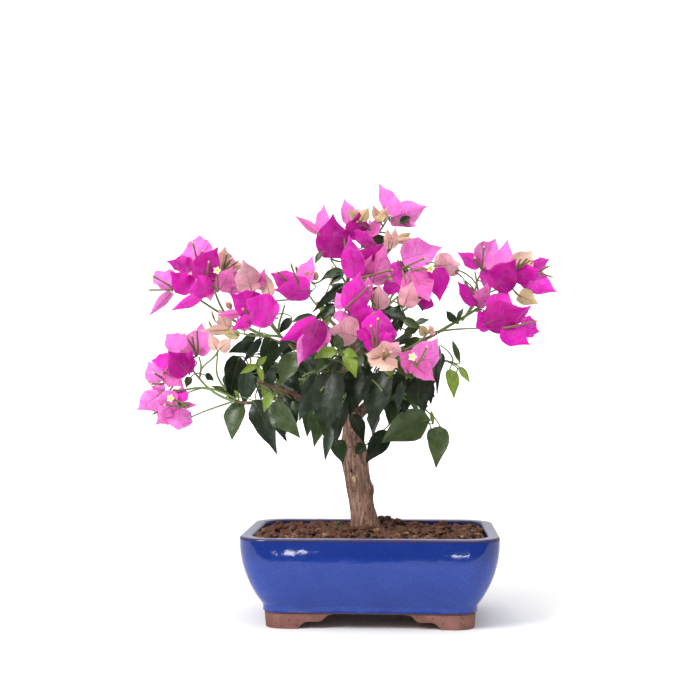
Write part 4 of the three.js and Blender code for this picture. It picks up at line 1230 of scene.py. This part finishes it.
def grow_flower(mass, shoot, t, lean, turn, draw, lengths=BRACT["length"], opening=(0.75, 1.1),
                stalks=STALK_LENGTH, tries=TRIES, margin=BLADE_MARGIN, allowed=lambda bracts: True):
    """A flower on its own stalk: bracts round an axis, turned until they fit, or nothing."""
    place, way = shoot.point(t), shoot.tangent(t)
    frame_of_shoot = shoot_frame(way)
    shortest = mix(*stalks, draw())
    widest = mix(*opening, draw())
    full = mix(*lengths, draw())
    spin = draw() * 2 * math.pi
    for attempt in range(tries):
        stalk = shortest + attempt * 0.3
        opened = widest * (1 - 0.008 * attempt)
        length = full * (1 - 0.005 * attempt)
        axis = around(frame_of_shoot, turn + attempt * GOLDEN_ANGLE) * (lean + attempt * 0.03)
        axis = unit(axis + way * 0.8 + UP * 0.2)
        ring = shoot_frame(axis)
        base = place + axis * (stalk - STALK_END / 2)
        bracts = []
        for b in range(BRACTS_PER_FLOWER):
            out = around(ring, spin + b * 2 * math.pi / BRACTS_PER_FLOWER)
            heading = axis * math.cos(opened) + out * math.sin(opened)
            bracts.append(grow_blade(BRACT, base, heading, out, 0.35, np.cross(out, axis), length))
            bracts[-1]["out"] = out
        if allowed(bracts) and fits(mass, bracts, margin):
            return dict(stalk=bend(place, unit(axis + way), base, axis), axis=axis, bracts=bracts, base=base)
    return None


def grow_mass(mass):
    """The flowers and leaves that the solids have."""
    draw = seeded(mass["seed"])
    mass["spots"] = np.zeros((0, 3))
    mass["blooms"], mass["foliage"] = [], []
    for s, shoot in enumerate(mass["curves"]):
        for i in range(mass["flowers"][s] if "flowers" in mass else 0):
            bloom = grow_flower(mass, shoot, 1 - i * 0.13, 1 if i else 0.25, s + i * GOLDEN_ANGLE, draw)
            if bloom:
                mass["blooms"].append(bloom)
    sizes = mass.get("size", FLOWERING_LEAF if "flowers" in mass else LEAFY_LEAF)
    for s, shoot in enumerate(mass["curves"]):
        for i in range(mass["leaves"]):
            share = (i + 0.5) / mass["leaves"]
            t = mix(0.12, 0.55, share) if "flowers" in mass else mix(0.25, 0.98, share)
            leaf = grow_leaf(mass, shoot, t, s + i * GOLDEN_ANGLE, mix(*sizes, share), draw)
            if leaf:
                mass["foliage"].append(leaf)


def grow_finer(mass):
    """Twigs, small leaves and buds between those of the solids, within the same space."""
    draw = seeded(mass["seed"] + 500)
    flowering = "flowers" in mass
    mass["twigs"], mass["young"] = [], []
    for shoot in mass["curves"]:
        for i in range(5 if flowering else 6):
            t = mix(0.1, 0.95, draw()) if flowering else mix(0.15, 1, draw())
            size = mix(0.0, 0.4, draw()) if flowering else mix(0.2, 0.8, draw())
            leaf = grow_leaf(mass, shoot, t, draw() * 6, size, draw, tries=FINE_TRIES, margin=FINE_MARGIN)
            if leaf:
                mass["foliage"].append(leaf)
        for i in range(3):
            t = mix(0.3, 0.95, (i + draw()) / 3)
            start, way = shoot.point(t), shoot.tangent(t)
            out = unit(around(shoot_frame(way), draw() * FULL_TURN) + way * 0.6 + UP * 0.2)
            end = start + out * mix(12, 26, draw())
            twig = bend(start, unit(out + way), end, unit(out + UP * (0.3 if flowering else -0.4)))
            trail = np.array([twig.point(k / 6) for k in range(2, 7)])
            own = skin_distance(trail, mass["beads"]) + SPACE_MARGIN
            if (skin_distance(trail, mass["others"]) <= own).any():
                continue
            growth = dict(curve=twig, leaves=[], buds=[])
            mass["twigs"].append(growth)
            for k in range(4):
                leaf = grow_leaf(mass, twig, mix(0.4, 1, k / 3), k * GOLDEN_ANGLE, mix(0.2, 1, draw()), draw,
                                 YOUNG_LENGTH, FINE_TRIES, FINE_MARGIN)
                if leaf:
                    growth["leaves"].append(leaf)
            if flowering:
                bud = grow_flower(mass, twig, 1, 0.3, 0, draw, BUD_LENGTH, (0.25, 0.55), (3, 6),
                                  FINE_TRIES, FINE_MARGIN)
                if bud:
                    growth["buds"].append(bud)
        for k in range(3):
            leaf = grow_leaf(mass, shoot, 1, k * 2.1, mix(0.3, 1, draw()), draw, YOUNG_LENGTH,
                             FINE_TRIES, FINE_MARGIN)
            if leaf:
                mass["young"].append(leaf)


# Growth that follows the photograph
SHOOT_SHARES = [k / 20 for k in range(21)]
shoot_places = np.array([c.point(t) for m in MASSES for c in m["curves"] for t in SHOOT_SHARES])
shoot_ways = np.array([c.tangent(t) for m in MASSES for c in m["curves"] for t in SHOOT_SHARES])


def stalk_to(place, heading):
    """A twig from the nearest shoot that arrives at a place along heading."""
    off = shoot_places - place
    nearest = (np.linalg.norm(off, axis=1) + STALK_BEHIND * np.maximum(0, -off[:, 1])).argmin()
    start, way = shoot_places[nearest], shoot_ways[nearest]
    across = unit(place - start)
    return bend(start, unit(way + across), place, unit(heading + across))


def blade_along(form, curve, across, length):
    """A blade along a curve."""
    shares = [k / MIDRIB_STEPS for k in range(MIDRIB_STEPS + 1)]
    places = np.array([curve.point(t) for t in shares])
    return dict(form=form, places=places, ways=np.array([curve.tangent(t) for t in shares]),
                across=across, length=length)


def place_leaf(leaf, draw):
    """A leaf between two pixels of the photograph, its tip drawn towards the viewer."""
    base, tip = sight(*leaf.base, leaf.depth), sight(*leaf.tip, leaf.depth)
    view = unit(base - CAMERA)
    tip = tip - view * np.linalg.norm(tip - base) * mix(0.05, 0.35, draw())
    length = np.linalg.norm(tip - base)
    way = unit(tip - base)
    lift = UP * mix(0.05, 0.16, draw()) - view * 0.08
    curve = Curve(base, base + (way * 0.3 + lift) * length, tip - (way * 0.3 - lift * 0.8) * length, tip)
    roll = mix(-0.6, 0.6, draw())
    across = unit(np.cross(way, -view)) * math.cos(roll) - view * math.sin(roll)
    wide = leaf.width / PIXELS_PER_MM / length / math.cos(roll)
    return blade_along({**LEAF, **SEEN_LEAF, "width": wide}, curve, across, length)


def place_bract(row, depth, draw, least):
    """A bract between two pixels of the photograph, dished towards its tip."""
    base_pixel, tip_pixel, width, _, side = row
    base, tip = sight(*base_pixel, depth), sight(*tip_pixel, depth)
    view = unit(base - CAMERA)
    shown = np.linalg.norm(tip - base)
    length = max(shown * BRACT_TILT, least) if side else shown
    tip = tip - view * side * math.sqrt(length ** 2 - shown ** 2)
    way = unit(tip - base)
    dish = view * (BULGE if side >= 0 else -BULGE) * mix(0.4, 1.2, draw())
    curve = Curve(base, base + (way * 0.33 + dish) * length, tip - (way * 0.33 - dish * 0.6) * length, tip)
    roll = mix(-0.45, 0.45, draw())
    across = unit(np.cross(-view, way))
    across = across * math.cos(roll) + np.cross(way, across) * math.sin(roll)
    wide = FOLD_ALLOWANCE * width / PIXELS_PER_MM / length / math.cos(roll)
    outline = ROUND_BRACT if wide > ROUND_FROM else POINTED_BRACT
    form = {**BRACT, **outline, "width": wide, "fold": mix(0.24, 0.56, draw())}
    return blade_along(form, curve, across if side >= 0 else -across, length)


def place_flower(flower, draw, least):
    """A flower whose bracts show where the photograph shows them."""
    heart = sight(*flower.heart, flower.depth)
    bracts = [place_bract(row, flower.depth - BRACT_APART * i, draw, least)
              for i, row in enumerate(flower.bracts)]
    opening = np.sum([unit(b["places"][-1] - b["places"][0]) for b in bracts], axis=0)
    axis = unit(opening - unit(heart - CAMERA) * 0.4)
    colours = [row[3] for row in flower.bracts]
    return dict(stalk=stalk_to(heart, axis), bracts=bracts, heart=heart, colours=colours)


class Plan:
    """The pixels that show leaf or blossom, and how near it is: other growth keeps behind and within."""

    def __init__(self):
        self.filled = np.zeros((PHOTO_SIZE, PHOTO_SIZE), bool)
        self.near = np.full((PHOTO_SIZE, PHOTO_SIZE), np.inf)
        rows, columns = np.mgrid[:PHOTO_SIZE, :PHOTO_SIZE]
        for u, v, radius in LEAFY_HEART:
            self.filled |= (columns - u) ** 2 + (rows - v) ** 2 < radius ** 2

    def add(self, blade):
        spots = blade_spots(blade)
        for u, v, depth in zip(*on_photo(spots), spots[:, 1]):
            patch = np.s_[v - PLAN_REACH:v + PLAN_REACH + 1, u - PLAN_REACH:u + PLAN_REACH + 1]
            self.filled[patch] = True
            self.near[patch] = np.minimum(self.near[patch], depth)

    def allows(self, blades, least=PLAN_SHARE):
        """True if at least this share of the blades keeps behind and within what shows."""
        spots = np.concatenate([blade_spots(blade) for blade in blades])
        u, v = on_photo(spots)
        near = self.near[v, u]
        behind = np.isinf(near) | (spots[:, 1] > near + PLAN_BEHIND)
        return (self.filled[v, u] & behind).mean() > least

    def hides(self, bracts):
        """True if a flower's bracts keep behind and within what shows."""
        return self.allows(bracts, BLOOM_SHARE)


# Meshes of the crown
def tube_rings(curve, girth, rows, sides):
    """Rings of points round a curve."""
    rings, across = [], None
    for r in range(rows + 1):
        way = curve.tangent(r / rows)
        across = shoot_frame(way)[0] if across is None else unit(across - way * (across @ way))
        over = np.cross(way, across)
        centre, radius = curve.point(r / rows), girth(r / rows)
        rings.append([centre + radius * (across * math.cos(a) + over * math.sin(a))
                      for a in (2 * math.pi * i / sides for i in range(sides))])
    return np.array(rings)


def blade_at(blade, k):
    """Place, way, sideways and face directions at step k of a blade's midrib."""
    low = min(int(k), MIDRIB_STEPS - 1)
    place = mix(blade["places"][low], blade["places"][low + 1], k - low)
    way = unit(mix(blade["ways"][low], blade["ways"][low + 1], k - low))
    across = unit(blade["across"] - way * (blade["across"] @ way))
    return place, way, across, np.cross(across, way)


# Half the thickness of a blade, how far its ribs and veins stand from its middle, and a vein's run in steps
BLADE_HALF = 0.16
RIB_PROUD = 0.22
VEIN_PROUD = 0.27
VEIN_RUN = 2.4
# Points of a blade's section: share of its half width, and 1 on its face, -1 on its back or 0 on its edge
BLADE_COLUMNS = ((-1, 0), (-0.55, 1), (0, 1), (0.55, 1), (1, 0), (0.55, -1), (0, -1), (-0.55, -1))


def blade_lift(blade, k, side):
    """Rise of a blade's face over its midrib, as a share of its half width: its fold and its ripple."""
    ripple, phase = blade["wave"]
    return blade["form"]["fold"] * abs(side) ** 1.3 + ripple * side * side * math.sin(k * 1.3 + phase + side)


def blade_rings(blade, steps):
    """Closed sections of a blade: folded along its midrib, rippled towards its edges."""
    rings = []
    for k in steps:
        place, _, across, face = blade_at(blade, k)
        wide = half_width(blade["form"], blade["length"], k / MIDRIB_STEPS)
        lifts = [wide * blade_lift(blade, k, side) + layer * BLADE_HALF for side, layer in BLADE_COLUMNS]
        rings.append([place + across * wide * side + face * lift
                      for (side, _), lift in zip(BLADE_COLUMNS, lifts)])
    place = blade["places"][-1]
    rings.append([place + (p - place) * 0.01 for p in rings[-1]])
    return np.array(rings)


def rib_rings(blade, first, last, thick):
    """A slender rib along a blade's midrib, proud on both faces and drawn out to a point."""
    rings = []
    for k in np.linspace(first, last, 6):
        place, _, across, face = blade_at(blade, k)
        girth = thick * mix(1, 0.25, (k - first) / (last - first))
        aside, out = across * girth, face * (girth * 0.5 + RIB_PROUD)
        rings.append([place - out, place - aside, place + out, place + aside])
    return np.array(rings)


def vein_rings(blade, k, side, thick):
    """A fine vein from the midrib towards an edge, proud on both faces."""
    rings = []
    for share in (0.04, 0.5, 1):
        step, run = k + VEIN_RUN * share, side * share
        place, way, across, face = blade_at(blade, step)
        wide = half_width(blade["form"], blade["length"], step / MIDRIB_STEPS)
        spot = place + across * wide * run + face * wide * blade_lift(blade, step, run)
        along, out = way * (thick * mix(1, 0.5, share)), face * VEIN_PROUD
        rings.append([spot + along, spot - out, spot - along, spot + out])
    return np.array(rings if side < 0 else [ring[::-1] for ring in rings])


# Steps of the midrib at which a blade has a section
LEAF_STEPS = (1.9, 2.8, 4.2, 6, 8, 10, 11.2)
BRACT_STEPS = (0.2, 1.2, 2.6, 4.4, 6.4, 8.4, 10.2, 11.3)
SEEN_STEPS = (0.25, 0.8, 1.6, 2.7, 4.1, 5.7, 7.3, 8.8, 10, 11, 11.6)
# Leaf tints. The grey-green tint is a painted sheen, for leaves that show a glossy reflection; olive is
# partly the leaves' own yellower green and partly painted light shining through them.
LEAF_TINTS = {
    "dark": "1f2b19", "grey": "374437", "deep": "2a3d1f",
    "olive": "3d4d27", "green": "435329", "young": "72892e",
}
# Bract tints. Pale, peach and bud are the colours of older and younger bracts. Light, deep and wine are
# partly painted light and shade: light for bracts lit through from behind, deep and the darkest wine for
# bracts in shadow.
BRACT_TINTS = {
    "wine": "930a70", "deep": "a8047d", "vivid": "cc089f", "bright": "e722b8", "light": "f069c9",
    "pink": "ea5fb4", "pale": "eea4b2", "peach": "eab6a4", "bud": "c8b47a",
}
PALE_TINTS = ("pale", "peach", "bud")
# Rings of an open star: share of its radius, depth of its lobes, lift along its axis
STAR_RINGS = ((0.6, 0, -0.5), (0.55, 0.12, 0.2), (1, 0.2, 1.1), (0.6, 0.12, 0.75), (0.25, 0, 0.3))
STAR_POINTS = 20
STAR_LOBES = 5


class Crown:
    """The gatherings that the crown's small things go to, each kind and colour apart."""

    def __init__(self):
        self.leaves = {name: Gathering() for name in LEAF_TINTS}
        self.bracts = {name: Gathering() for name in BRACT_TINTS}
        self.stems, self.boughs = Gathering(), Gathering()
        self.leaf_ribs, self.young_ribs, self.bract_ribs = Gathering(), Gathering(), Gathering()
        self.bract_veins, self.pale_veins, self.plan = Gathering(), Gathering(), Plan()
        self.tubes, self.tips, self.stars, self.throats = Gathering(), Gathering(), Gathering(), Gathering()
        self.brown_twigs = Gathering()

    def add_leaf(self, leaf, colour, draw, steps=LEAF_STEPS):
        leaf["wave"] = (mix(0.05, 0.22, draw()), draw() * FULL_TURN)
        self.leaves[colour].loft(blade_rings(leaf, steps))
        ribs = self.young_ribs if colour == "young" else self.leaf_ribs
        ribs.loft(rib_rings(leaf, 1.2, 11, 0.28 + 0.004 * leaf["length"]))
        for side in (-0.8, 0.8):
            for k in (3, 4.4, 5.9, 7.5):
                ribs.loft(vein_rings(leaf, k, side, 0.13))
        stalk = [[p + 0.62 * (across * math.cos(a) + face * math.sin(a)) for a in (0, -1.57, -3.14, -4.71)]
                 for p, _, across, face in (blade_at(leaf, k) for k in (0, 1, 2.2))]
        self.stems.loft(np.array(stalk))

    def add_bract(self, bract, colour, draw, steps=BRACT_STEPS):
        bract["wave"] = (mix(0.1, 0.3, draw()), draw() * FULL_TURN)
        self.bracts[colour].loft(blade_rings(bract, steps))
        self.bract_ribs.loft(rib_rings(bract, 0.4, 8, 0.42))
        veins = self.pale_veins if colour in PALE_TINTS else self.bract_veins
        for side in (-0.85, 0.85):
            for k in (0.8, 1.8, 2.9, 4.1, 5.4, 6.8):
                veins.loft(vein_rings(bract, k, side, 0.18))

    def add_flower(self, flower, colour, draw, open_star):
        axis = flower["axis"]
        self.stems.loft(tube_rings(flower["stalk"], lambda t: mix(0.75, 0.9, t), 8, 6))
        for b, bract in enumerate(flower["bracts"]):
            self.add_bract(bract, colour, draw)
            scale, out = bract["length"] / 35, bract["out"]
            way = unit(axis + out * mix(0.2, 0.75, draw()))
            base = flower["base"] + axis * 0.8
            end = base + (way + out * 0.08) * mix(*TUBE_LENGTH, draw()) * scale
            self.add_tube(bend(base + out * 0.8, axis, end, unit(way + out * 0.2)), scale)
            if open_star and b == 0:
                self.add_star(end + way * 1.2, way)

    def add_tube(self, curve, scale):
        """The true flower: a slender tube, closed at the tip."""
        end, way = curve.point(1), curve.tangent(1)
        swell = lambda t: 0.4 * math.sin(min(1, t * 2.2) * math.pi) * (1 - t) + 0.35 * max(0, t - 0.7)
        self.tubes.loft(tube_rings(curve, lambda t: scale * (0.95 + swell(t)), 6, 6))
        tip = Curve(end - way * 0.4, end, end + way * 0.6, end + way * 1.4 * scale)
        self.tips.loft(tube_rings(tip, lambda t: scale * mix(1.3, 0.6, t * t), 3, 6))

    def add_star(self, centre, way):
        """A five-lobed cream star, dished round its throat."""
        ring = shoot_frame(way)
        rows = []
        turns = [2 * math.pi * i / STAR_POINTS for i in range(STAR_POINTS)]
        for radius, lobe, lift in STAR_RINGS:
            rows.append([centre + way * lift + around(ring, turn) * STAR_RADIUS
                         * radius * (1 - lobe + lobe * math.cos(STAR_LOBES * turn)) for turn in turns])
        self.stars.loft(np.array(rows))
        throat = Curve(centre, centre + way * 0.3, centre + way * 0.7, centre + way * 1.1)
        self.throats.loft(tube_rings(throat, lambda t: STAR_RADIUS * mix(0.34, 0.2, t), 3, 8))

    def add_limbs(self):
        for name, limb in limbs.items():
            if name == "trunk":
                continue
            curve, girth = limb["curve"], limb["girth"]
            rows = int(np.linalg.norm(curve.point(1) - curve.point(0)) / BOUGH_ROW) + 4
            rings = tube_rings(curve, girth, rows, BOUGH_SIDES)
            centres = rings.mean(axis=1, keepdims=True)
            spread = rings - centres
            for r in range(rows + 1):
                for i in range(BOUGH_SIDES):
                    turn = 2 * math.pi * i / BOUGH_SIDES
                    relief = bark_relief(turn, r * BOUGH_ROW + 7 * len(name), girth(0) * 0.8)
                    node = 0.10 * math.exp(-((r % 9 - 4) / 1.2) ** 2)
                    spread[r, i] *= 1 + 0.10 * relief + node
            self.boughs.loft(centres + spread)

    def add_mass(self, mass):
        draw = seeded(mass["seed"] + 900)
        for curve, thick in zip(mass["curves"], mass["thick"]):
            self.stems.loft(tube_rings(curve, lambda t: mix(thick, SHOOT_RADIUS * 0.8, t), 14, 8))
        for twig in mass["twigs"]:
            leaves = [leaf for leaf in twig["leaves"] if self.plan.allows([leaf])]
            buds = [bud for bud in twig["buds"] if self.plan.allows(bud["bracts"])]
            if leaves or buds:
                self.stems.loft(tube_rings(twig["curve"], lambda t: mix(0.8, 0.5, t), 5, 6))
            for leaf in leaves:
                self.add_leaf(leaf, "young" if draw() < 0.4 else "olive", draw)
            for bud in buds:
                self.add_flower(bud, "peach" if draw() < 0.7 else "pale", draw, False)
        for leaf in filter(lambda leaf: self.plan.allows([leaf]), mass["foliage"]):
            share = draw()
            self.add_leaf(leaf, "dark" if share < 0.5 else "deep" if share < 0.8 else "olive", draw)
        for leaf in filter(lambda leaf: self.plan.allows([leaf]), mass["young"]):
            self.add_leaf(leaf, "young" if draw() < 0.4 else "olive", draw)
        colours = mass.get("tints", ())
        for i, bloom in enumerate(mass["blooms"]):
            if self.plan.hides(bloom["bracts"]):
                self.add_flower(bloom, colours[i % len(colours)], draw, draw() < 0.3)
        for shoot in mass["curves"] if mass["blooms"] else ():
            for i in range(HIDDEN_BLOOMS):
                t, lean, turn = mix(0.3, 1, draw()), mix(0.3, 1.4, draw()), draw() * FULL_TURN
                bloom = grow_flower(mass, shoot, t, lean, turn, draw, margin=FINE_MARGIN,
                                    allowed=self.plan.hides)
                if bloom:
                    self.add_flower(bloom, colours[i % len(colours)], draw, draw() < 0.3)

    def add_seen(self):
        """The flowers, buds, leaves and twigs that the photograph shows."""
        draw = seeded(77)
        hearts = []
        for row, least in [(f, LEAST_BRACT) for f in FLOWERS] + [(b, LEAST_BUD) for b in BUDS]:
            flower = place_flower(row, draw, least)
            hearts.append(flower["heart"])
            self.stems.loft(tube_rings(flower["stalk"], lambda t: mix(0.75, 0.9, t), 8, 6))
            for bract, colour in zip(flower["bracts"], flower["colours"]):
                self.plan.add(bract)
                self.add_bract(bract, colour, draw, SEEN_STEPS)
                self.join(flower["heart"], bract["places"][0], bract["ways"][0])
        for row in TUBES:
            base, tip = sight(*row.base, row.depth), sight(*row.tip, row.depth - TUBE_LEAN)
            way = unit(tip - base)
            self.add_tube(Curve(base, mix(base, tip, 0.3), mix(base, tip, 0.7), tip), SEEN_TUBE)
            self.join(min(hearts, key=lambda heart: np.linalg.norm(heart - base)), base, way)
            if row.star:
                self.add_star(tip + way * 1.2, unit(way + unit(CAMERA - tip) * 2))
        for row in LEAVES:
            leaf = place_leaf(row, draw)
            self.plan.add(leaf)
            self.add_leaf(leaf, row.tint, draw, SEEN_STEPS)
            stalk = stalk_to(leaf["places"][0], leaf["ways"][0])
            self.stems.loft(tube_rings(stalk, lambda t: mix(0.75, 0.55, t), 8, 6))
        for start, near, pass_by, end, far in GREEN_TWIGS:
            low, middle, high = sight(*start, near), sight(*pass_by, (near + far) / 2), sight(*end, far)
            pull = (8 * middle - low - high) / 6
            self.stems.loft(tube_rings(Curve(low, pull, pull, high), lambda t: mix(1.0, 0.7, t), 12, 6))
        for depth, start, end in TWIGS:
            low, high = sight(*start, depth), sight(*end, depth)
            self.brown_twigs.loft(tube_rings(bend(low, unit(high - low + UP * 9), high, unit(high - low)),
                                             lambda t: mix(1.1, 0.8, t), 12, 8))
            root = stalk_to(low, unit(high - low))
            self.brown_twigs.loft(tube_rings(root, lambda t: 1.1, 8, 8))

    def join(self, heart, base, way):
        """A short stalk from a flower's heart to the base of a bract or tube."""
        if np.linalg.norm(base - heart) > 1:
            self.stems.loft(tube_rings(bend(heart, unit(base - heart), base, way), lambda t: 0.7, 4, 6))

    def make_pieces(self):
        masses = [mass["name"] for mass in MASSES]
        boughs = ["bough_" + name for name in masses]
        blossom = [mass["name"] for mass in MASSES if "flowers" in mass]
        bark = bark_finish("bough_bark", "4a3a2c", "6e5a46", "8d7762", 600)
        self.boughs.piece("bough_bark", bark, "bark", boughs)
        self.stems.piece("green_stems", blade_finish("green_stems", "6f8245", 0.6), "leaf", masses)
        for name, colour in LEAF_TINTS.items():
            finish = blade_finish("leaf_" + name, colour, 0.34, 0.4, 0.12)
            self.leaves[name].piece("leaves_" + name, finish, "leaf", masses)
        self.leaf_ribs.piece("leaf_ribs", blade_finish("leaf_ribs", "55663f", 0.45), "leaf")
        self.young_ribs.piece("young_ribs", blade_finish("young_ribs", "a9bf5c", 0.5), "leaf")
        for name, colour in BRACT_TINTS.items():
            finish = blade_finish("bract_" + name, colour, 0.6, 0.15, 0.07, 0.4)
            self.bracts[name].piece("bracts_" + name, finish, "bract", blossom)
        self.bract_ribs.piece("bract_ribs", blade_finish("bract_ribs", "74584a", 0.6), "bract")
        self.pale_veins.piece("pale_veins", blade_finish("pale_veins", "c48a84", 0.6, 0.15), "bract")
        self.bract_veins.piece("bract_veins", blade_finish("bract_veins", "b04a8c", 0.6, 0.15), "bract")
        self.tubes.piece("flower_tubes", blade_finish("flower_tubes", "77703c", 0.6), "bract")
        self.tips.piece("flower_tips", blade_finish("flower_tips", "d9b98a", 0.6), "bract")
        self.stars.piece("flower_stars", blade_finish("flower_stars", "f6efb4", 0.6), "bract")
        self.throats.piece("flower_throats", blade_finish("flower_throats", "d6c340", 0.6), "bract")
        twig_bark = bark_finish("brown_twigs", "3d241c", "5f3b30", "7d5445", 900)
        self.brown_twigs.piece("brown_twigs", twig_bark, "bark")


def make_crown():
    crown = Crown()
    crown.add_limbs()
    crown.add_seen()
    for mass in MASSES:
        grow_mass(mass)
        grow_finer(mass)
        crown.add_mass(mass)
    crown.make_pieces()


# Stage, in metres
FLOOR_RADIUS = 0.95
DOME_RADIUS = 9
DOME_GLOW = 1.02
STREAK_GLOW = 22
WORLD_GLOW = 0.54
WHITE = (1, 1, 1, 1)


def make_camera():
    camera = bpy.data.objects.new("camera", bpy.data.cameras.new("camera"))
    bpy.context.scene.collection.objects.link(camera)
    camera.data.lens = CAMERA_LENS
    camera.data.sensor_width = SENSOR
    camera.location = to_row(CAMERA)
    camera.rotation_euler = (math.pi / 2 + CAMERA_PITCH, 0, CAMERA_YAW)
    bpy.context.scene.camera = camera


def flat_sheet(name, centre, size, colour, roughness=0.9):
    """A level sheet of the stage."""
    form = bmesh.new()
    bmesh.ops.create_grid(form, x_segments=1, y_segments=1, size=0.5)
    bmesh.ops.scale(form, vec=(*size, 1), verts=form.verts)
    bmesh.ops.translate(form, vec=centre, verts=form.verts)
    return stage_piece(name, form, colour, roughness)


def stage_piece(name, form, colour, roughness=0.9):
    sheet = bpy.data.objects.new(name, bpy.data.meshes.new(name))
    form.to_mesh(sheet.data)
    form.free()
    bpy.context.scene.collection.objects.link(sheet)
    finish = Finish(name, Roughness=roughness)
    finish.feed("Base Color", colour)
    sheet.data.materials.append(finish.material)
    return sheet


def area_light(name, place, target, size, power):
    light = bpy.data.lights.new(name, "AREA")
    light.shape = "RECTANGLE"
    light.size, light.size_y = size
    light.energy = power
    holder = bpy.data.objects.new(name, light)
    holder.location = place
    holder.rotation_euler = (Vector(target) - Vector(place)).to_track_quat("-Z", "Y").to_euler()
    bpy.context.scene.collection.objects.link(holder)
    return holder


def upright(sheet, centre):
    """Stands a sheet of the stage up across the view."""
    sheet.data.transform(Matrix.Translation(centre) @ Matrix.Rotation(math.pi / 2, 4, "X"))
    return sheet


def glow(sheet, strength):
    surface = sheet.data.materials[0].node_tree.nodes["Principled BSDF"]
    surface.inputs["Emission Color"].default_value = WHITE
    surface.inputs["Emission Strength"].default_value = strength


def mirror_only(sheet):
    """Lets a sheet of the stage show in reflections alone."""
    sheet.visible_camera = False
    sheet.visible_diffuse = False
    sheet.visible_shadow = False


def make_stage():
    disc = bmesh.new()
    bmesh.ops.create_circle(disc, cap_ends=True, segments=96, radius=FLOOR_RADIUS)
    stage_piece("floor", disc, WHITE)
    dome = bmesh.new()
    bmesh.ops.create_icosphere(dome, subdivisions=4, radius=DOME_RADIUS)
    dome = stage_piece("dome", dome, WHITE)
    glow(dome, DOME_GLOW)
    dome.visible_diffuse = False
    dome.visible_glossy = False
    dome.visible_shadow = False
    mirror_only(flat_sheet("dark_floor", (0, -1.2, 0.0006), (4, 2.0), (0.05, 0.05, 0.06, 1)))
    mirror_only(upright(flat_sheet("dark_room", (0, 0, 0), (7, 4), (0.06, 0.06, 0.07, 1)), (0, -1.9, 1.6)))
    for name, place, size in (("streak_left", (-0.068, -0.3, 0.0012), (0.03, 0.05)),
                              ("streak_right", (0.12, -0.262, 0.0012), (0.02, 0.024))):
        streak = flat_sheet(name, place, size, WHITE)
        glow(streak, STREAK_GLOW)
        mirror_only(streak)
    world = bpy.data.worlds.new("studio")
    world.use_nodes = True
    background = world.node_tree.nodes["Background"].inputs
    background["Color"].default_value = WHITE
    background["Strength"].default_value = WORLD_GLOW
    bpy.context.scene.world = world
    area_light("overhead", (0, -0.3, 1.9), (0, -0.1, 0), (2.2, 2.2), 30)
    area_light("key", (-1.0, -1.1, 1.3), (0, 0, 0.2), (0.8, 0.8), 24)
    bpy.context.scene.view_settings.view_transform = "Standard"


make_pot()
make_feet()
make_soil_bed()
make_soil_crumbs()
make_sprout()
make_trunk()
make_scars()
make_crown()
make_camera()
make_stage()
